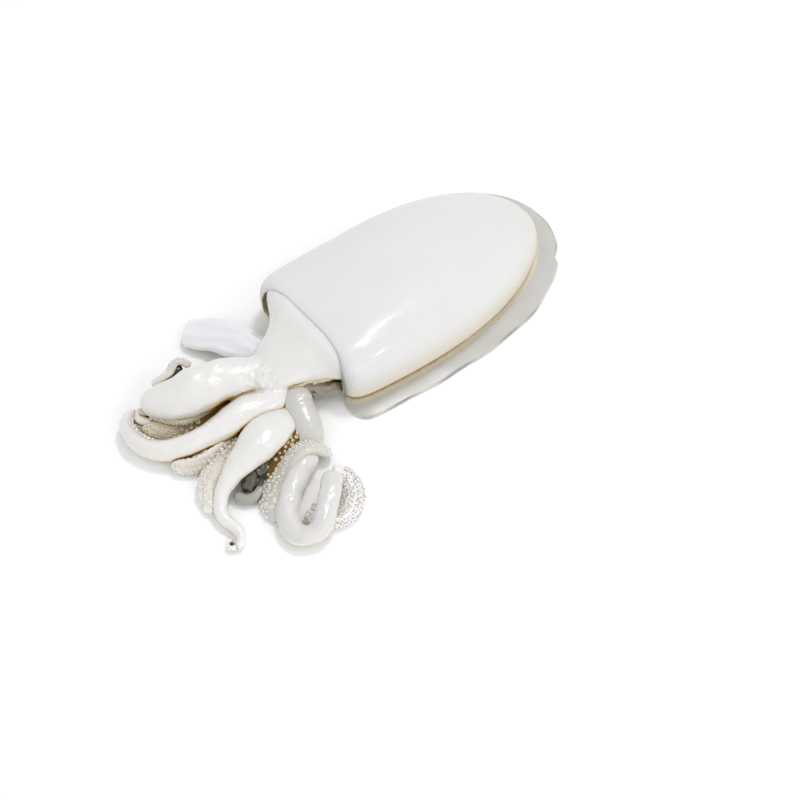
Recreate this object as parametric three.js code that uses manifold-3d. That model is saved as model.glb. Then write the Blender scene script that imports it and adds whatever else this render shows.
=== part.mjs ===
// Whole cleaned cuttlefish, lying belly side up.
// Two pieces of flesh: the mantle, a domed sac with a flat fin round its lower edge, and the head,
// tucked into the mantle's mouth, with the funnel on top of it, eight arms and two long tentacles.
// Millimetres, +Z up, +X from the arms to the tail. The sizes and paths below are measured from the
// middle of the mouth, on the table, and the finished model is moved so that its origin is at the
// bottom centre of its box.

import * as THREE from "three";
import { LoftGeometry } from "three/addons/geometries/LoftGeometry.js";
import { mergeVertices } from "three/addons/utils/BufferGeometryUtils.js";
import Module from "manifold-3d";

// Driving dimensions of the mantle.
const MANTLE_LENGTH = 169;
const MANTLE_HALF_WIDTH = 50.5;
const MANTLE_HEIGHT = 38;
const MOUTH_CENTRE = -2; // the mantle's mouth lies a little to one side of the head
const TAIL_BEND = 4; // how far the mantle bends sideways on its way to the tail
const WIDEST_AT = 0.42; // share of the length, from the mouth
const MOUTH_WIDTH_SHARE = 0.9;
const MOUTH_HEIGHT_SHARE = 0.9;
const TAIL_POWERS = { width: 2, height: 1.7, fin: 2.5 }; // more gives a blunter tail
const SIDE_POWERS = { mouth: 4, body: 2.5 }; // 2 is an ellipse, more gives a boxier section
const BOXY_LENGTH = 60; // how far back the section stays boxier than the body's
const EDGE_HEIGHT = 9; // the widest line of the sac, above the table
const UNDERSIDE_HEIGHT = 1.5;

// Driving dimensions of the mantle's mouth.
const WALL = 3.6;
const LIP_RADIUS = 2.2;
const LIP_FLARE = 1.6;
const MOUTH_CORNER = 9; // radius, seen from above, of the turn from each side into the mouth
const MOUTH_RECESS = { side: 1.6, top: 6.4, foot: 3 }; // how far back parts of the mouth's edge lie
const POCKET_DEPTH = 40;
const POCKET_NARROWING = 9;
const POCKET_FLOOR = 4.8;
const POCKET_CLEARANCE = 8; // how far the cutter of the pocket starts in front of the mouth

// Driving dimensions of the fin.
const FIN_START = 2;
const FIN_WIDTH = 10;
const FIN_REACH = MANTLE_LENGTH + 1.2 * FIN_WIDTH;
const FIN_CORNERS = { near: { length: 3, cut: 5 }, far: { length: 45, cut: 22 } }; // beside the mouth
const FIN_FRONT = { depth: 16, length: 30, nearCorner: 0.5 }; // the front edge, set back under the mouth
const FIN_THICKNESS = 3.4;
const FIN_EDGE_THICKNESS = 1.2;
const FIN_RIPPLE = 0.8;
const FIN_RIPPLE_LENGTH = 37;

// The limbs' section and suckers.
const SUCKER_SIDE_DEPTH = 0.7; // how far the sucker side stands out, as a share of the outer side
const SUCKER_HEIGHT = 2.4;
const SUCKER_PITCH = 1.35; // in sucker widths
const SUCKER_SPREAD = 0.62; // the outermost row, as a share of the limb's half-width
const LAST_SUCKER = 0.6; // the size of the last sucker, as a share of the first

// Fineness of the faceted surfaces.
const MANTLE_AROUND = 36;
const MANTLE_STATIONS = 20;
const FIN_STATIONS = 26;
const HEAD_AROUND = 20;
const LIMB_AROUND = 10;
const LIMB_STEP = 6;
const SUCKER_AROUND = 6;
const CAP_ANGLES = [30, 58, 82]; // stations of a rounded end, in degrees
const LEAST_HALF_SIZE = 0.4;
const MERGE = 1e-4;

// The limbs, each named for how it lies, from its root to its tip. A turn says where the sucker side
// faces, in degrees: 0 is down, 90 is to the limb's right and 180 is up.
const LIMBS = {
  farFlap: {
    path: [[-12, -2, 13], [-18, 10, 12.5], [-22, 24, 11], [-28, 38, 9], [-41, 52, 6.5]],
    width: [14, 20, 24, 23, 19],
    thickness: [12, 9, 8],
    bluntness: 0.45,
  },
  broadTongue: {
    path: [[-14, -7, 16], [-26, -5, 17], [-48, 2, 17.5], [-61, 5, 17], [-73, 8.5, 15.5], [-88.5, 22, 11.5]],
    width: [22, 26, 30, 33, 26, 16],
    thickness: [14, 15, 16, 15, 13, 11],
    turn: [20, 28, 28],
    bluntness: 0.9,
  },
  tongueTip: {
    path: [[-78, 24, 14], [-72, 21, 18.5], [-67.5, 22, 19], [-64, 25, 19], [-60, 26, 19], [-57, 23, 18.5]],
    width: [7, 5, 4],
    thickness: [6, 5, 4],
  },
  crescent: {
    path: [
      [-18, -14, 14],
      [-32, -19, 14],
      [-48, -22, 13],
      [-65.5, -21, 11],
      [-83.5, -17, 9],
      [-97, -8.5, 8],
      [-102, 5, 7.5],
      [-100, 16, 7],
      [-92, 22, 7],
    ],
    width: [22, 21, 19, 14, 9],
    thickness: [20, 19, 17, 14, 9],
    turn: [100, 120, 135],
    suckers: { from: 0.3, to: 0.92, rows: 2, size: 3.4 },
  },
  underCrescent: {
    path: [[-36, -20, 7], [-56, -24, 6], [-75, -29, 5], [-88, -27, 5], [-96, -20, 4.5]],
    width: [14, 12, 8],
    thickness: [12, 11, 8],
    turn: [-90, -120],
    suckers: { from: 0.55, to: 0.95, rows: 2, size: 3.2 },
  },
  curledArm: {
    path: [
      [-20, -20, 12],
      [-31, -32, 13],
      [-44, -39, 13],
      [-61, -45, 12],
      [-76, -50, 9.5],
      [-88, -56, 7],
      [-93, -65, 5],
      [-91, -73, 3.8],
      [-93, -80, 3.2],
      [-98, -82, 2.6],
    ],
    width: [22, 20, 15, 9, 4],
    thickness: [18, 17, 13, 8, 4],
  },
  underCurled: {
    path: [[-34, -26, 8], [-48, -30, 7.5], [-64, -34, 6.5], [-80, -38, 5.5], [-91, -46, 5], [-95, -58, 4]],
    width: [18, 17, 9],
    thickness: [12, 11, 8],
    turn: [170, 160],
    suckers: { from: 0.3, to: 0.95, rows: 3, size: 3.2 },
  },
  shortStub: {
    path: [[-14, -18, 14], [-20, -26, 14], [-24, -38, 12], [-27, -47, 9], [-29, -56, 6]],
    width: [15, 16, 16],
    thickness: [13, 12, 11],
    bluntness: 0.6,
  },
  strip: {
    path: [[-72, -66, 5], [-60, -61, 6], [-47, -55, 7.5], [-37, -56, 9], [-29, -60, 7.5], [-25, -67, 4]],
    width: [13, 11, 7],
    thickness: [10, 9, 6],
    turn: [205, 215],
    suckers: { from: 0.3, to: 0.9, rows: 2, size: 2.8 },
  },
  shadedTip: {
    path: [[-52, -44, 6], [-60, -52, 5.5], [-68, -57, 5], [-76, -59, 4.5], [-82, -57, 4]],
    width: [12, 9, 6],
    thickness: [10, 9, 7],
  },
  tentacleStalk: {
    path: [
      [-36, -62, 7],
      [-49, -69, 7.5],
      [-61, -78, 6.5],
      [-69, -89, 5.8],
      [-69, -99, 5.8],
      [-62, -103, 6.5],
      [-52, -98, 9],
      [-42, -89, 10.5],
      [-33, -79, 9.5],
    ],
    width: [13, 13, 12],
    thickness: [12, 12, 11],
    bluntness: 0.8,
  },
  tentacleClub: {
    path: [
      [-32, -77, 7],
      [-28, -80, 4.5],
      [-28, -88, 3],
      [-34, -97, 3],
      [-43, -101, 3],
      [-51, -97, 3],
      [-57, -87, 3],
    ],
    width: [10, 13, 13],
    thickness: [6, 6.4, 6],
    turn: [180, 180],
  },
};

// The funnel, a broad cone of muscle that narrows from the mouth towards the arms.
const FUNNEL = [
  { x: -37, y: -10, halfWidth: 4, edge: 14, top: 17, foot: 12 },
  { x: -33, y: -10, halfWidth: 11, edge: 15, top: 19.5, foot: 11 },
  { x: -24, y: -9.5, halfWidth: 14.5, edge: 17, top: 23, foot: 12 },
  { x: -12, y: -10, halfWidth: 18.5, edge: 19, top: 27, foot: 14 },
  { x: 0, y: -8, halfWidth: 26, edge: 20.5, top: 31, foot: 16 },
  { x: 8, y: -6, halfWidth: 31, edge: 20.5, top: 31, foot: 16 },
  { x: 16, y: -4, halfWidth: 29, edge: 20, top: 29.5, foot: 15 },
  { x: 24, y: -2, halfWidth: 22, edge: 19, top: 28, foot: 14 },
];

// The head proper, under the funnel, and the neck that fills the mouth.
const HEAD = [
  { x: -36, y: -12, halfWidth: 8, edge: 9, top: 14, foot: 3 },
  { x: -28, y: -11, halfWidth: 16, edge: 9, top: 18, foot: 0 },
  { x: -14, y: -9, halfWidth: 20, edge: 9, top: 20, foot: 0 },
  { x: 2, y: -6, halfWidth: 24, edge: 12, top: 20, foot: 5.8 },
  { x: 9, y: -2, halfWidth: 36, edge: 14, top: 25, foot: 6.6 },
  { x: 24, y: -2, halfWidth: 36, edge: 14, top: 25, foot: 6.6 },
  { x: 33, y: -2, halfWidth: 28, edge: 14, top: 21, foot: 8 },
];

const wasm = await Module();
wasm.setup();

// A closed geometry as a solid that can be joined and cut.
function solidOf(geometry) {
  const bare = new THREE.BufferGeometry();
  bare.setAttribute("position", geometry.getAttribute("position"));
  bare.setIndex(geometry.index);
  const merged = mergeVertices(bare, MERGE);
  return new wasm.Manifold(
    new wasm.Mesh({
      numProp: 3,
      vertProperties: merged.getAttribute("position").array,
      triVerts: new Uint32Array(merged.index.array),
    }),
  );
}

function geometryOf(solid) {
  const mesh = solid.getMesh();
  const geometry = new THREE.BufferGeometry();
  geometry.setAttribute("position", new THREE.BufferAttribute(mesh.vertProperties, 3));
  geometry.setIndex(new THREE.BufferAttribute(mesh.triVerts, 1));
  geometry.computeVertexNormals();
  return geometry;
}

function loft(sections) {
  return solidOf(new LoftGeometry(sections, { capStart: true, capEnd: true }));
}

// Keeps the sign of a number while raising its size to a power.
function signedPower(value, power) {
  return Math.sign(value) * Math.abs(value) ** power;
}

function mix(from, to, share) {
  return from + (to - from) * share;
}

// A value that passes smoothly through the given ones, spaced evenly from share 0 to share 1.
function profile(values, share) {
  const place = Math.min(Math.max(share, 0), 1) * (values.length - 1);
  const step = Math.min(Math.floor(place), values.length - 2);
  return mix(values[step], values[step + 1], THREE.MathUtils.smoothstep(place - step, 0, 1));
}

// Shares of a length from 0 to 1, closer together where the tail turns in.
function tailShares(count) {
  return Array.from({ length: count + 1 }, (_, i) => Math.sin((Math.PI / 2) * (i / count)) ** 1.15);
}

// The mantle's half-width, or its height above the edge line, as a share of the largest one.
function mantleShare(along, mouthShare, tailPower) {
  if (along < WIDEST_AT) {
    return 1 - (1 - mouthShare) * ((WIDEST_AT - along) / WIDEST_AT) ** 2;
  }
  const aft = (along - WIDEST_AT) / (1 - WIDEST_AT);
  return Math.sqrt(Math.max(0, 1 - aft ** tailPower));
}

function mantleCentre(x) {
  return MOUTH_CENTRE + TAIL_BEND * (x / MANTLE_LENGTH) ** 2;
}

function mantleHalfWidth(x) {
  return MANTLE_HALF_WIDTH * mantleShare(x / MANTLE_LENGTH, MOUTH_WIDTH_SHARE, TAIL_POWERS.width);
}

function mantleTop(x) {
  const rise = MANTLE_HEIGHT - EDGE_HEIGHT;
  return EDGE_HEIGHT + rise * mantleShare(x / MANTLE_LENGTH, MOUTH_HEIGHT_SHARE, TAIL_POWERS.height);
}

// How far the sides are drawn in where they turn into the mouth.
function mouthCorner(x) {
  const ahead = Math.max(0, 1 - x / MOUTH_CORNER);
  return MOUTH_CORNER * (1 - Math.sqrt(1 - ahead ** 2));
}

// How far back the mouth's edge lies at a point of it, which is at a share of the mouth's height.
function mouthRecess(up, heightShare) {
  const { side, top, foot } = MOUTH_RECESS;
  return side + top * Math.max(0, up) ** 1.5 + foot * (1 - heightShare) ** 2;
}

// One ring of the sac, drawn in by inset all round, with its foot at the height given.
function sacRing(x, inset, foot) {
  const halfWidth = Math.max(mantleHalfWidth(x) - mouthCorner(x) - inset, LEAST_HALF_SIZE);
  const top = Math.max(mantleTop(x) - inset, EDGE_HEIGHT + LEAST_HALF_SIZE);
  const boxy = 1 - THREE.MathUtils.smoothstep(x, 0, BOXY_LENGTH);
  const sidePower = mix(SIDE_POWERS.body, SIDE_POWERS.mouth, boxy);
  const points = [];
  for (let i = 0; i < MANTLE_AROUND; i++) {
    const angle = (2 * Math.PI * i) / MANTLE_AROUND;
    const up = Math.sin(angle);
    const power = up > 0 ? 2 / sidePower : 1;
    const rise = up > 0 ? top - EDGE_HEIGHT : EDGE_HEIGHT - foot;
    const y = mantleCentre(x) + halfWidth * signedPower(Math.cos(angle), power);
    const z = EDGE_HEIGHT + rise * signedPower(up, power);
    const recess = mouthRecess(up, z / top) * Math.max(0, 1 - x / POCKET_DEPTH);
    points.push(new THREE.Vector3(x + recess, y, z));
  }
  return points;
}

function sac() {
  const lip = [15, 40, 70].map((degrees) => {
    const angle = THREE.MathUtils.degToRad(degrees);
    const x = LIP_RADIUS * (1 - Math.sin(angle));
    return { x, inset: LIP_RADIUS * (1 - Math.cos(angle)) };
  });
  const sections = lip.reverse().map(({ x, inset }) => sacRing(x, inset, UNDERSIDE_HEIGHT));
  for (const share of tailShares(MANTLE_STATIONS).slice(1)) {
    sections.push(sacRing(Math.max(share * MANTLE_LENGTH, LIP_RADIUS), 0, UNDERSIDE_HEIGHT));
  }
  return loft(sections);
}

// The hollow of the mouth, which the neck goes into. Its first ring stands clear in front.
function pocket() {
  const clear = sacRing(0, WALL - LIP_FLARE, POCKET_FLOOR);
  for (const point of clear) {
    point.x -= POCKET_CLEARANCE;
  }
  const sections = [clear];
  for (const share of [0.03, 0.15, 0.35, 0.6, 0.82, 1]) {
    const flare = LIP_FLARE * Math.max(0, 1 - share / 0.1);
    const inset = WALL - flare + POCKET_NARROWING * share ** 2;
    sections.push(sacRing(share * POCKET_DEPTH, inset, POCKET_FLOOR));
  }
  return loft(sections);
}

// The fin's half-width at x on one side: the sac's outline, let out by the fin and rippled a little.
function finHalfWidth(x, side) {
  const share = mantleShare(x / FIN_REACH, MOUTH_WIDTH_SHARE, TAIL_POWERS.fin);
  const ripple = FIN_RIPPLE * Math.sin((2 * Math.PI * x) / FIN_RIPPLE_LENGTH + side);
  const corner = side < 0 ? FIN_CORNERS.near : FIN_CORNERS.far;
  const short = Math.max(0, 1 - (x - FIN_START) / corner.length);
  const cornerCut = corner.cut * (1 - Math.sqrt(1 - short ** 2));
  const halfWidth = (MANTLE_HALF_WIDTH + FIN_WIDTH) * share + ripple * Math.min(1, 2 * share) - cornerCut;
  return Math.max(halfWidth, 2 * LEAST_HALF_SIZE);
}

// How far the fin's front edge is set back, at a share of its half-width. Only its near corner stays.
function finFront(x, share) {
  const { depth, length, nearCorner } = FIN_FRONT;
  const nearness = Math.max(0, 1 - (x - FIN_START) / length);
  return depth * nearness * (1 - THREE.MathUtils.smoothstep(-share, nearCorner, 0.8));
}

function fin() {
  const across = [-1, -0.93, -0.8, -0.5, 0, 0.5, 0.8, 0.93, 1];
  const sections = tailShares(FIN_STATIONS).map((along) => {
    const x = mix(FIN_START, FIN_REACH - LEAST_HALF_SIZE, along);
    const under = across.map((share) => {
      const y = mantleCentre(x) + share * finHalfWidth(x, share);
      return new THREE.Vector3(x + finFront(x, share), y, 0);
    });
    const over = under.map((point, i) => {
      const thickness = mix(FIN_THICKNESS, FIN_EDGE_THICKNESS, Math.abs(across[i]) ** 3);
      return new THREE.Vector3(point.x, point.y, thickness);
    });
    return [...under, ...over.reverse()];
  });
  return loft(sections);
}

function mantleSolid() {
  return sac().add(fin()).subtract(pocket());
}

// One limb along a smooth path. Its section is widest across, round on the outer side and flatter on
// the sucker side.
class Limb {
  constructor({ path, width, thickness, turn = [0, 0], bluntness = 1 }) {
    const points = path.map((point) => new THREE.Vector3(...point));
    this.curve = new THREE.CatmullRomCurve3(points, false, "centripetal");
    this.length = this.curve.getLength();
    Object.assign(this, { width, thickness, turn, bluntness });
  }

  halfWidth(share) {
    return profile(this.width, share) / 2;
  }

  halfThickness(share) {
    return profile(this.thickness, share) / 2;
  }

  // The centre of the section, its direction across and the directions of its two sides.
  frame(share) {
    const centre = this.curve.getPointAt(share);
    const ahead = this.curve.getTangentAt(share);
    const down = new THREE.Vector3(0, 0, -1).addScaledVector(ahead, ahead.z).normalize();
    const right = new THREE.Vector3().crossVectors(down, ahead);
    const angle = THREE.MathUtils.degToRad(profile(this.turn, share));
    const suckerSide = down.multiplyScalar(Math.cos(angle)).addScaledVector(right, Math.sin(angle));
    const outer = suckerSide.clone().negate();
    const across = new THREE.Vector3().crossVectors(outer, ahead);
    return { centre, across, outer, suckerSide };
  }

  ring(share, scale) {
    const { centre, across, outer } = this.frame(share);
    const points = [];
    for (let i = 0; i < LIMB_AROUND; i++) {
      const angle = (2 * Math.PI * i) / LIMB_AROUND;
      const depth = Math.sin(angle) > 0 ? 1 : SUCKER_SIDE_DEPTH;
      const point = centre.clone();
      point.addScaledVector(across, this.halfWidth(share) * scale * Math.cos(angle));
      point.addScaledVector(outer, this.halfThickness(share) * scale * depth * Math.sin(angle));
      points.push(point);
    }
    return points;
  }

  solid() {
    const capLength = Math.min(this.bluntness * this.halfWidth(1), this.length / 3);
    const plain = 1 - capLength / this.length;
    const steps = Math.ceil((plain * this.length) / LIMB_STEP);
    const sections = [];
    for (let i = 0; i <= steps; i++) {
      sections.push(this.ring((plain * i) / steps, 1));
    }
    for (const degrees of CAP_ANGLES) {
      const angle = THREE.MathUtils.degToRad(degrees);
      sections.push(this.ring(mix(plain, 1, Math.sin(angle)), Math.cos(angle)));
    }
    return loft(sections);
  }

  // One low sucker, offset across the limb, half sunk in its sucker side.
  sucker(share, offset, radius) {
    const { centre, across, suckerSide } = this.frame(share);
    const arch = Math.sqrt(1 - (offset / this.halfWidth(share)) ** 2);
    const depth = SUCKER_SIDE_DEPTH * this.halfThickness(share) * arch;
    const place = centre.addScaledVector(across, offset).addScaledVector(suckerSide, depth);
    const upright = new THREE.Vector3(0, 1, 0);
    const cup = new THREE.CylinderGeometry(0.75 * radius, radius, SUCKER_HEIGHT, SUCKER_AROUND);
    cup.applyQuaternion(new THREE.Quaternion().setFromUnitVectors(upright, suckerSide));
    cup.translate(place.x, place.y, place.z);
    return solidOf(cup);
  }

  // Rows of suckers that get smaller towards the tip.
  suckers({ from, to, rows, size }) {
    const made = [];
    for (let share = from; share <= to; share += (size * SUCKER_PITCH) / this.length) {
      const radius = (size / 2) * mix(1, LAST_SUCKER, (share - from) / (to - from));
      const reach = SUCKER_SPREAD * this.halfWidth(share);
      for (let row = 0; row < rows; row++) {
        made.push(this.sucker(share, mix(-reach, reach, row / (rows - 1)), radius));
      }
    }
    return made;
  }
}

// A flattened ring of the head or the funnel, arched above its edge line and shallow below it.
function archRing({ x, y, halfWidth, edge, top, foot }) {
  const points = [];
  for (let i = 0; i < HEAD_AROUND; i++) {
    const angle = (2 * Math.PI * i) / HEAD_AROUND;
    const up = Math.sin(angle);
    const rise = up > 0 ? top - edge : edge - foot;
    points.push(new THREE.Vector3(x, y + halfWidth * Math.cos(angle), edge + rise * up));
  }
  return points;
}

// The table's top layer, which flattens the spots that the limbs rest on.
function table() {
  const depth = 20;
  const slab = new THREE.BoxGeometry(2 * MANTLE_LENGTH, 2 * MANTLE_LENGTH, depth);
  slab.translate(0, 0, -depth / 2);
  return solidOf(slab);
}

function headSolid() {
  const pieces = [loft(HEAD.map(archRing)), loft(FUNNEL.map(archRing))];
  for (const shape of Object.values(LIMBS)) {
    const limb = new Limb(shape);
    pieces.push(limb.solid());
    if (shape.suckers) {
      pieces.push(...limb.suckers(shape.suckers));
    }
  }
  return wasm.Manifold.union(pieces).subtract(table());
}

function flesh(name, solid, color) {
  const material = new THREE.MeshStandardMaterial({ color, roughness: 0.3, metalness: 0 });
  const mesh = new THREE.Mesh(geometryOf(solid), material);
  mesh.name = name;
  return mesh;
}

const cuttlefish = new THREE.Group();
cuttlefish.add(flesh("mantle", mantleSolid(), 0xebe8e1));
cuttlefish.add(flesh("head", headSolid(), 0xe6e2d9));

const box = new THREE.Box3().setFromObject(cuttlefish);
const middle = box.getCenter(new THREE.Vector3());
cuttlefish.position.set(-middle.x, -middle.y, -box.min.z);

export default cuttlefish;
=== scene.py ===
# %% [markdown]
# # A whole cleaned cuttlefish, lying belly side up
# This lesson dresses the solids of a cleaned cuttlefish with wet, slightly see-through flesh. The packed
# model is the fixed frame: it says how large the animal is and where each of its two solids lies. Every
# piece made below takes the place of one of those solids, so nothing has to be fitted afterwards.

# %% Load the frame
import math
import random

import bmesh
import bpy
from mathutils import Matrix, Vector, noise
from mathutils.bvhtree import BVHTree


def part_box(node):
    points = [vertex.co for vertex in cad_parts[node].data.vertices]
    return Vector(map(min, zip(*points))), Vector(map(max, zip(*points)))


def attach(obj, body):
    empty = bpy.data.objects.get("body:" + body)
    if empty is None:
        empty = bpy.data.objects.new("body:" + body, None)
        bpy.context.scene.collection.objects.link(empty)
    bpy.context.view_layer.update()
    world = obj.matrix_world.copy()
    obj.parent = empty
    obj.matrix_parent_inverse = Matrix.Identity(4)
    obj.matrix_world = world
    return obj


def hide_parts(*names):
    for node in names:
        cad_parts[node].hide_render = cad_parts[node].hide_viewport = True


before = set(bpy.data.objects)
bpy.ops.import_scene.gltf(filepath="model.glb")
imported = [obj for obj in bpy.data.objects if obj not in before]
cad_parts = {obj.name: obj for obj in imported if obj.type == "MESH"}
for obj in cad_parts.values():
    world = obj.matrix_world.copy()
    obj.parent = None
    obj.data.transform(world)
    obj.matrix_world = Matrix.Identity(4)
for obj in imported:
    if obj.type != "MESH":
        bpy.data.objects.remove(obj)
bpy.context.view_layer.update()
print("CAD nodes:", sorted(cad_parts))

# %% [markdown]
# ## Places in millimetres
# The animal is easiest to describe from one point: the middle of the mantle's mouth, on the table. X runs
# back towards the tail, Y across and Z up. Blender works in metres, so one small function turns such a
# place into a point of the frame. The mouth itself is found from the mantle's box, and not typed in.

# %% Find the mouth and set the units
MM = 0.001
FIN_START = 2  # the mantle's foremost point is a corner of its fin, this far behind the mouth's middle
MANTLE_ASIDE = 1.09  # the middle of the mantle's box lies this far to one side
mantle_low, mantle_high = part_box("mantle")
mouth_y = (mantle_low.y + mantle_high.y) / 2 + MANTLE_ASIDE * MM
MOUTH = Vector((mantle_low.x - FIN_START * MM, mouth_y, 0))


def spot(x, y, z):
    return MOUTH + Vector((x, y, z)) * MM


def mix(start, end, share):
    return start + (end - start) * share


def smoothstep(low, high, value):
    """Goes from 0 at low to 1 at high. Low may be the larger one, and then it falls."""
    share = min(max((value - low) / (high - low), 0), 1)
    return share * share * (3 - 2 * share)


def profile(values, share):
    """A value that passes smoothly through the given ones, evenly spaced from share 0 to share 1."""
    place = min(max(share, 0), 1) * (len(values) - 1)
    step = min(int(place), len(values) - 2)
    return mix(values[step], values[step + 1], smoothstep(0, 1, place - step))


print("mouth at", [round(value / MM, 1) for value in MOUTH], "mm")

# %% [markdown]
# ## One way to make every soft body
# Sacs, fins and arms are all bodies whose section changes along the way. By hand one adds a circle,
# extrudes it, moves and scales the new ring, and goes on. The helper below does exactly that: the circle
# has a face, so the body stays closed at both ends at all times. Sculpting or metaballs would also give
# soft bodies, but no control over where each ring lies.

# %% Extrude a circle from ring to ring
def place_selected(ring):
    mesh = bmesh.from_edit_mesh(bpy.context.edit_object.data)
    chosen = [vertex for vertex in mesh.verts if vertex.select]
    for vertex, place in zip(chosen, ring):
        vertex.co = place
    bmesh.update_edit_mesh(bpy.context.edit_object.data)


def extruded(name, rings):
    bpy.ops.object.select_all(action="DESELECT")
    bpy.ops.mesh.primitive_circle_add(vertices=len(rings[0]), radius=MM, fill_type="NGON")
    piece = bpy.context.object
    piece.name = name
    piece.data.name = name
    bpy.ops.object.mode_set(mode="EDIT")
    place_selected(rings[0])
    for ring in rings[1:]:
        bpy.ops.mesh.extrude_region_move()
        place_selected(ring)
    bpy.ops.mesh.select_all(action="SELECT")
    bpy.ops.mesh.normals_make_consistent(inside=False)
    bpy.ops.object.mode_set(mode="OBJECT")
    bpy.ops.object.shade_smooth()
    return piece


def apply_modifiers(piece):
    bpy.ops.object.select_all(action="DESELECT")
    bpy.context.view_layer.objects.active = piece
    piece.select_set(True)
    for modifier in list(piece.modifiers):
        bpy.ops.object.modifier_apply(modifier=modifier.name)


def rounded(piece, levels=1):
    """Subdivides a piece, which also rounds it."""
    subdivision = piece.modifiers.new("rounding", "SUBSURF")
    subdivision.levels = levels
    subdivision.render_levels = levels
    apply_modifiers(piece)


def uneven(piece, size, height):
    """Gives a piece soft bumps of one size and height, in millimetres."""
    clouds = bpy.data.textures.new(piece.name + "_bumps", "CLOUDS")
    clouds.noise_scale = size * MM
    bumps = piece.modifiers.new("bumps", "DISPLACE")
    bumps.texture = clouds
    bumps.strength = height * MM
    apply_modifiers(piece)


# %% [markdown]
# ## Marks on a mesh
# Some of what the eye sees follows the shape: where juice stain and painted shade gather in the folds, where
# the skin is tinted, and which way the muscle fibres run. Such things are stored on the mesh, one value for
# each vertex, and the materials read them. Marks stay in place from every side, and they can be baked.

# %% Store marks for the materials
FIBRE_STRETCH = 0.13  # fibres are this much finer across than along


def mark(piece, name, values):
    attribute = piece.data.attributes.new(name, "FLOAT", "POINT")
    attribute.data.foreach_set("value", values)


def mark_fibres(piece, places):
    attribute = piece.data.attributes.new("fibre", "FLOAT_VECTOR", "POINT")
    attribute.data.foreach_set("vector", [number for place in places for number in place])


def shell_of(piece):
    """A piece's surface with its tint, kept for a mesh that takes its place."""
    points = [vertex.co.copy() for vertex in piece.data.vertices]
    faces = [list(polygon.vertices) for polygon in piece.data.polygons]
    tints = [value.value for value in piece.data.attributes["tint"].data]
    return BVHTree.FromPolygons(points, faces), faces, tints


def carry_tint(shell, piece, reach=1.5):
    """Gives a piece the tint of a shell that it lies close to, in millimetres."""
    tree, faces, tints = shell
    carried = []
    for vertex in piece.data.vertices:
        face = tree.find_nearest(vertex.co, reach * MM)[2]
        corners = [] if face is None else [tints[corner] for corner in faces[face]]
        carried.append(sum(corners) / max(len(corners), 1))
    mark(piece, "tint", carried)


def mark_fibres_lengthwise(piece):
    """Fibres that run from the head to the tail."""
    points = [vertex.co for vertex in piece.data.vertices]
    mark_fibres(piece, [(point.x * FIBRE_STRETCH, point.y, point.z) for point in points])


# %% [markdown]
# ## Colours and nodes
# Colours are written as they look on a screen, in sRGB hex, and one function makes them linear. Another
# adds a node with its settings and links, so that each material reads as a list of what it is made of.

# %% Helpers for materials
def linear(hex_colour):
    channels = [int(hex_colour[start:start + 2], 16) / 255 for start in (1, 3, 5)]
    straight = [c / 12.92 if c <= 0.04045 else ((c + 0.055) / 1.055) ** 2.4 for c in channels]
    return (*straight, 1)


def add_node(tree, kind, inputs, **settings):
    node = tree.nodes.new(kind)
    for name, value in settings.items():
        setattr(node, name, value)
    for socket, value in inputs.items():
        if isinstance(value, bpy.types.NodeSocket):
            tree.links.new(value, node.inputs[socket])
        else:
            node.inputs[socket].default_value = value
    return node


# A mix node has sockets for each kind of value, so colours and numbers go by their place
COLOUR_A, COLOUR_B, COLOUR_OUT = 6, 7, 2
NUMBER_A, NUMBER_B = 2, 3

# %% [markdown]
# ## Wet raw flesh
# Skinned cuttlefish is dense white muscle. Light goes a few millimetres into it and comes out again, so
# edges glow and shadows are soft: that is subsurface scattering. A film of water on top gives small, sharp
# highlights: that is a coat. Folds turn cream, ochre and then brown, partly from juice stain and partly as
# painted shade. That follows the shape, so the folds are measured further down and stored on the mesh as an
# attribute called fold, which the material only reads. Skin that has a colour of its own is stored as tint,
# and so is the mantle's painted shade towards the table. The way the fibres run is stored as fibre, and
# places where water has run together as wet.

# %% Values of flesh, water, juice and painted shade
CLOUD_SIZE = 22  # patches of slightly different white, in millimetres
WRINKLE_SIZE = 2.6
FIBRE_SIZE = 1.5
GRAIN_SIZE = 0.7  # muscle grain, drawn coarser than it is so that it shows
GRAIN_SHARE = 0.25  # the grain's height as a share of the wrinkles' height
STAIN_AND_SHADE_PATCHINESS = 0.2  # wrinkles break up the juice stain and painted shade of a fold, so it ends in patches
WET_ROUGHNESS = 0.12
DRYNESS = 0.14  # the driest patches are this much rougher than the wettest
STREAKS = (0.35, 0.6)  # the part of the fibre pattern that running water follows
PALE_STAINS_AND_SHADE = {"#E8DFC8": (0.26, 0.55)}  # cream juice stain and painted shade, where a fold begins
DEEP_STAINS_AND_SHADE = {"#B08A3A": (0.55, 0.80), "#3C2A0C": (0.76, 1.00)}  # ochre, and brown in the depth: juice stain and painted shade
DARK_STAINS_AND_SHADE = {"#241D15": (0.5, 0.9)}  # juice stain and painted shade on flesh that is dark already
FLESH = {  # muscle bends light little more than water does, and scatters red furthest
    "IOR": 1.38,
    "Subsurface Weight": 0.85,
    "Subsurface Radius": (1.0, 0.95, 0.88),
    "Coat Roughness": 0.06,
    "Coat IOR": 1.45,  # more than water, because there is slime in the film
}
print("stains:", len(PALE_STAINS_AND_SHADE) + len(DEEP_STAINS_AND_SHADE) + len(DARK_STAINS_AND_SHADE))

# %% [markdown]
# ## One recipe for every flesh
# All fleshes are made alike and differ only in their values, so one function builds them. It lays colours
# over the pale flesh, adds wrinkles, grain and fibres as a bump map, and sets how glossy the film is. Each
# could also be put together by hand in the shader editor, but then every change would have to be made
# in all of them.

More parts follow.
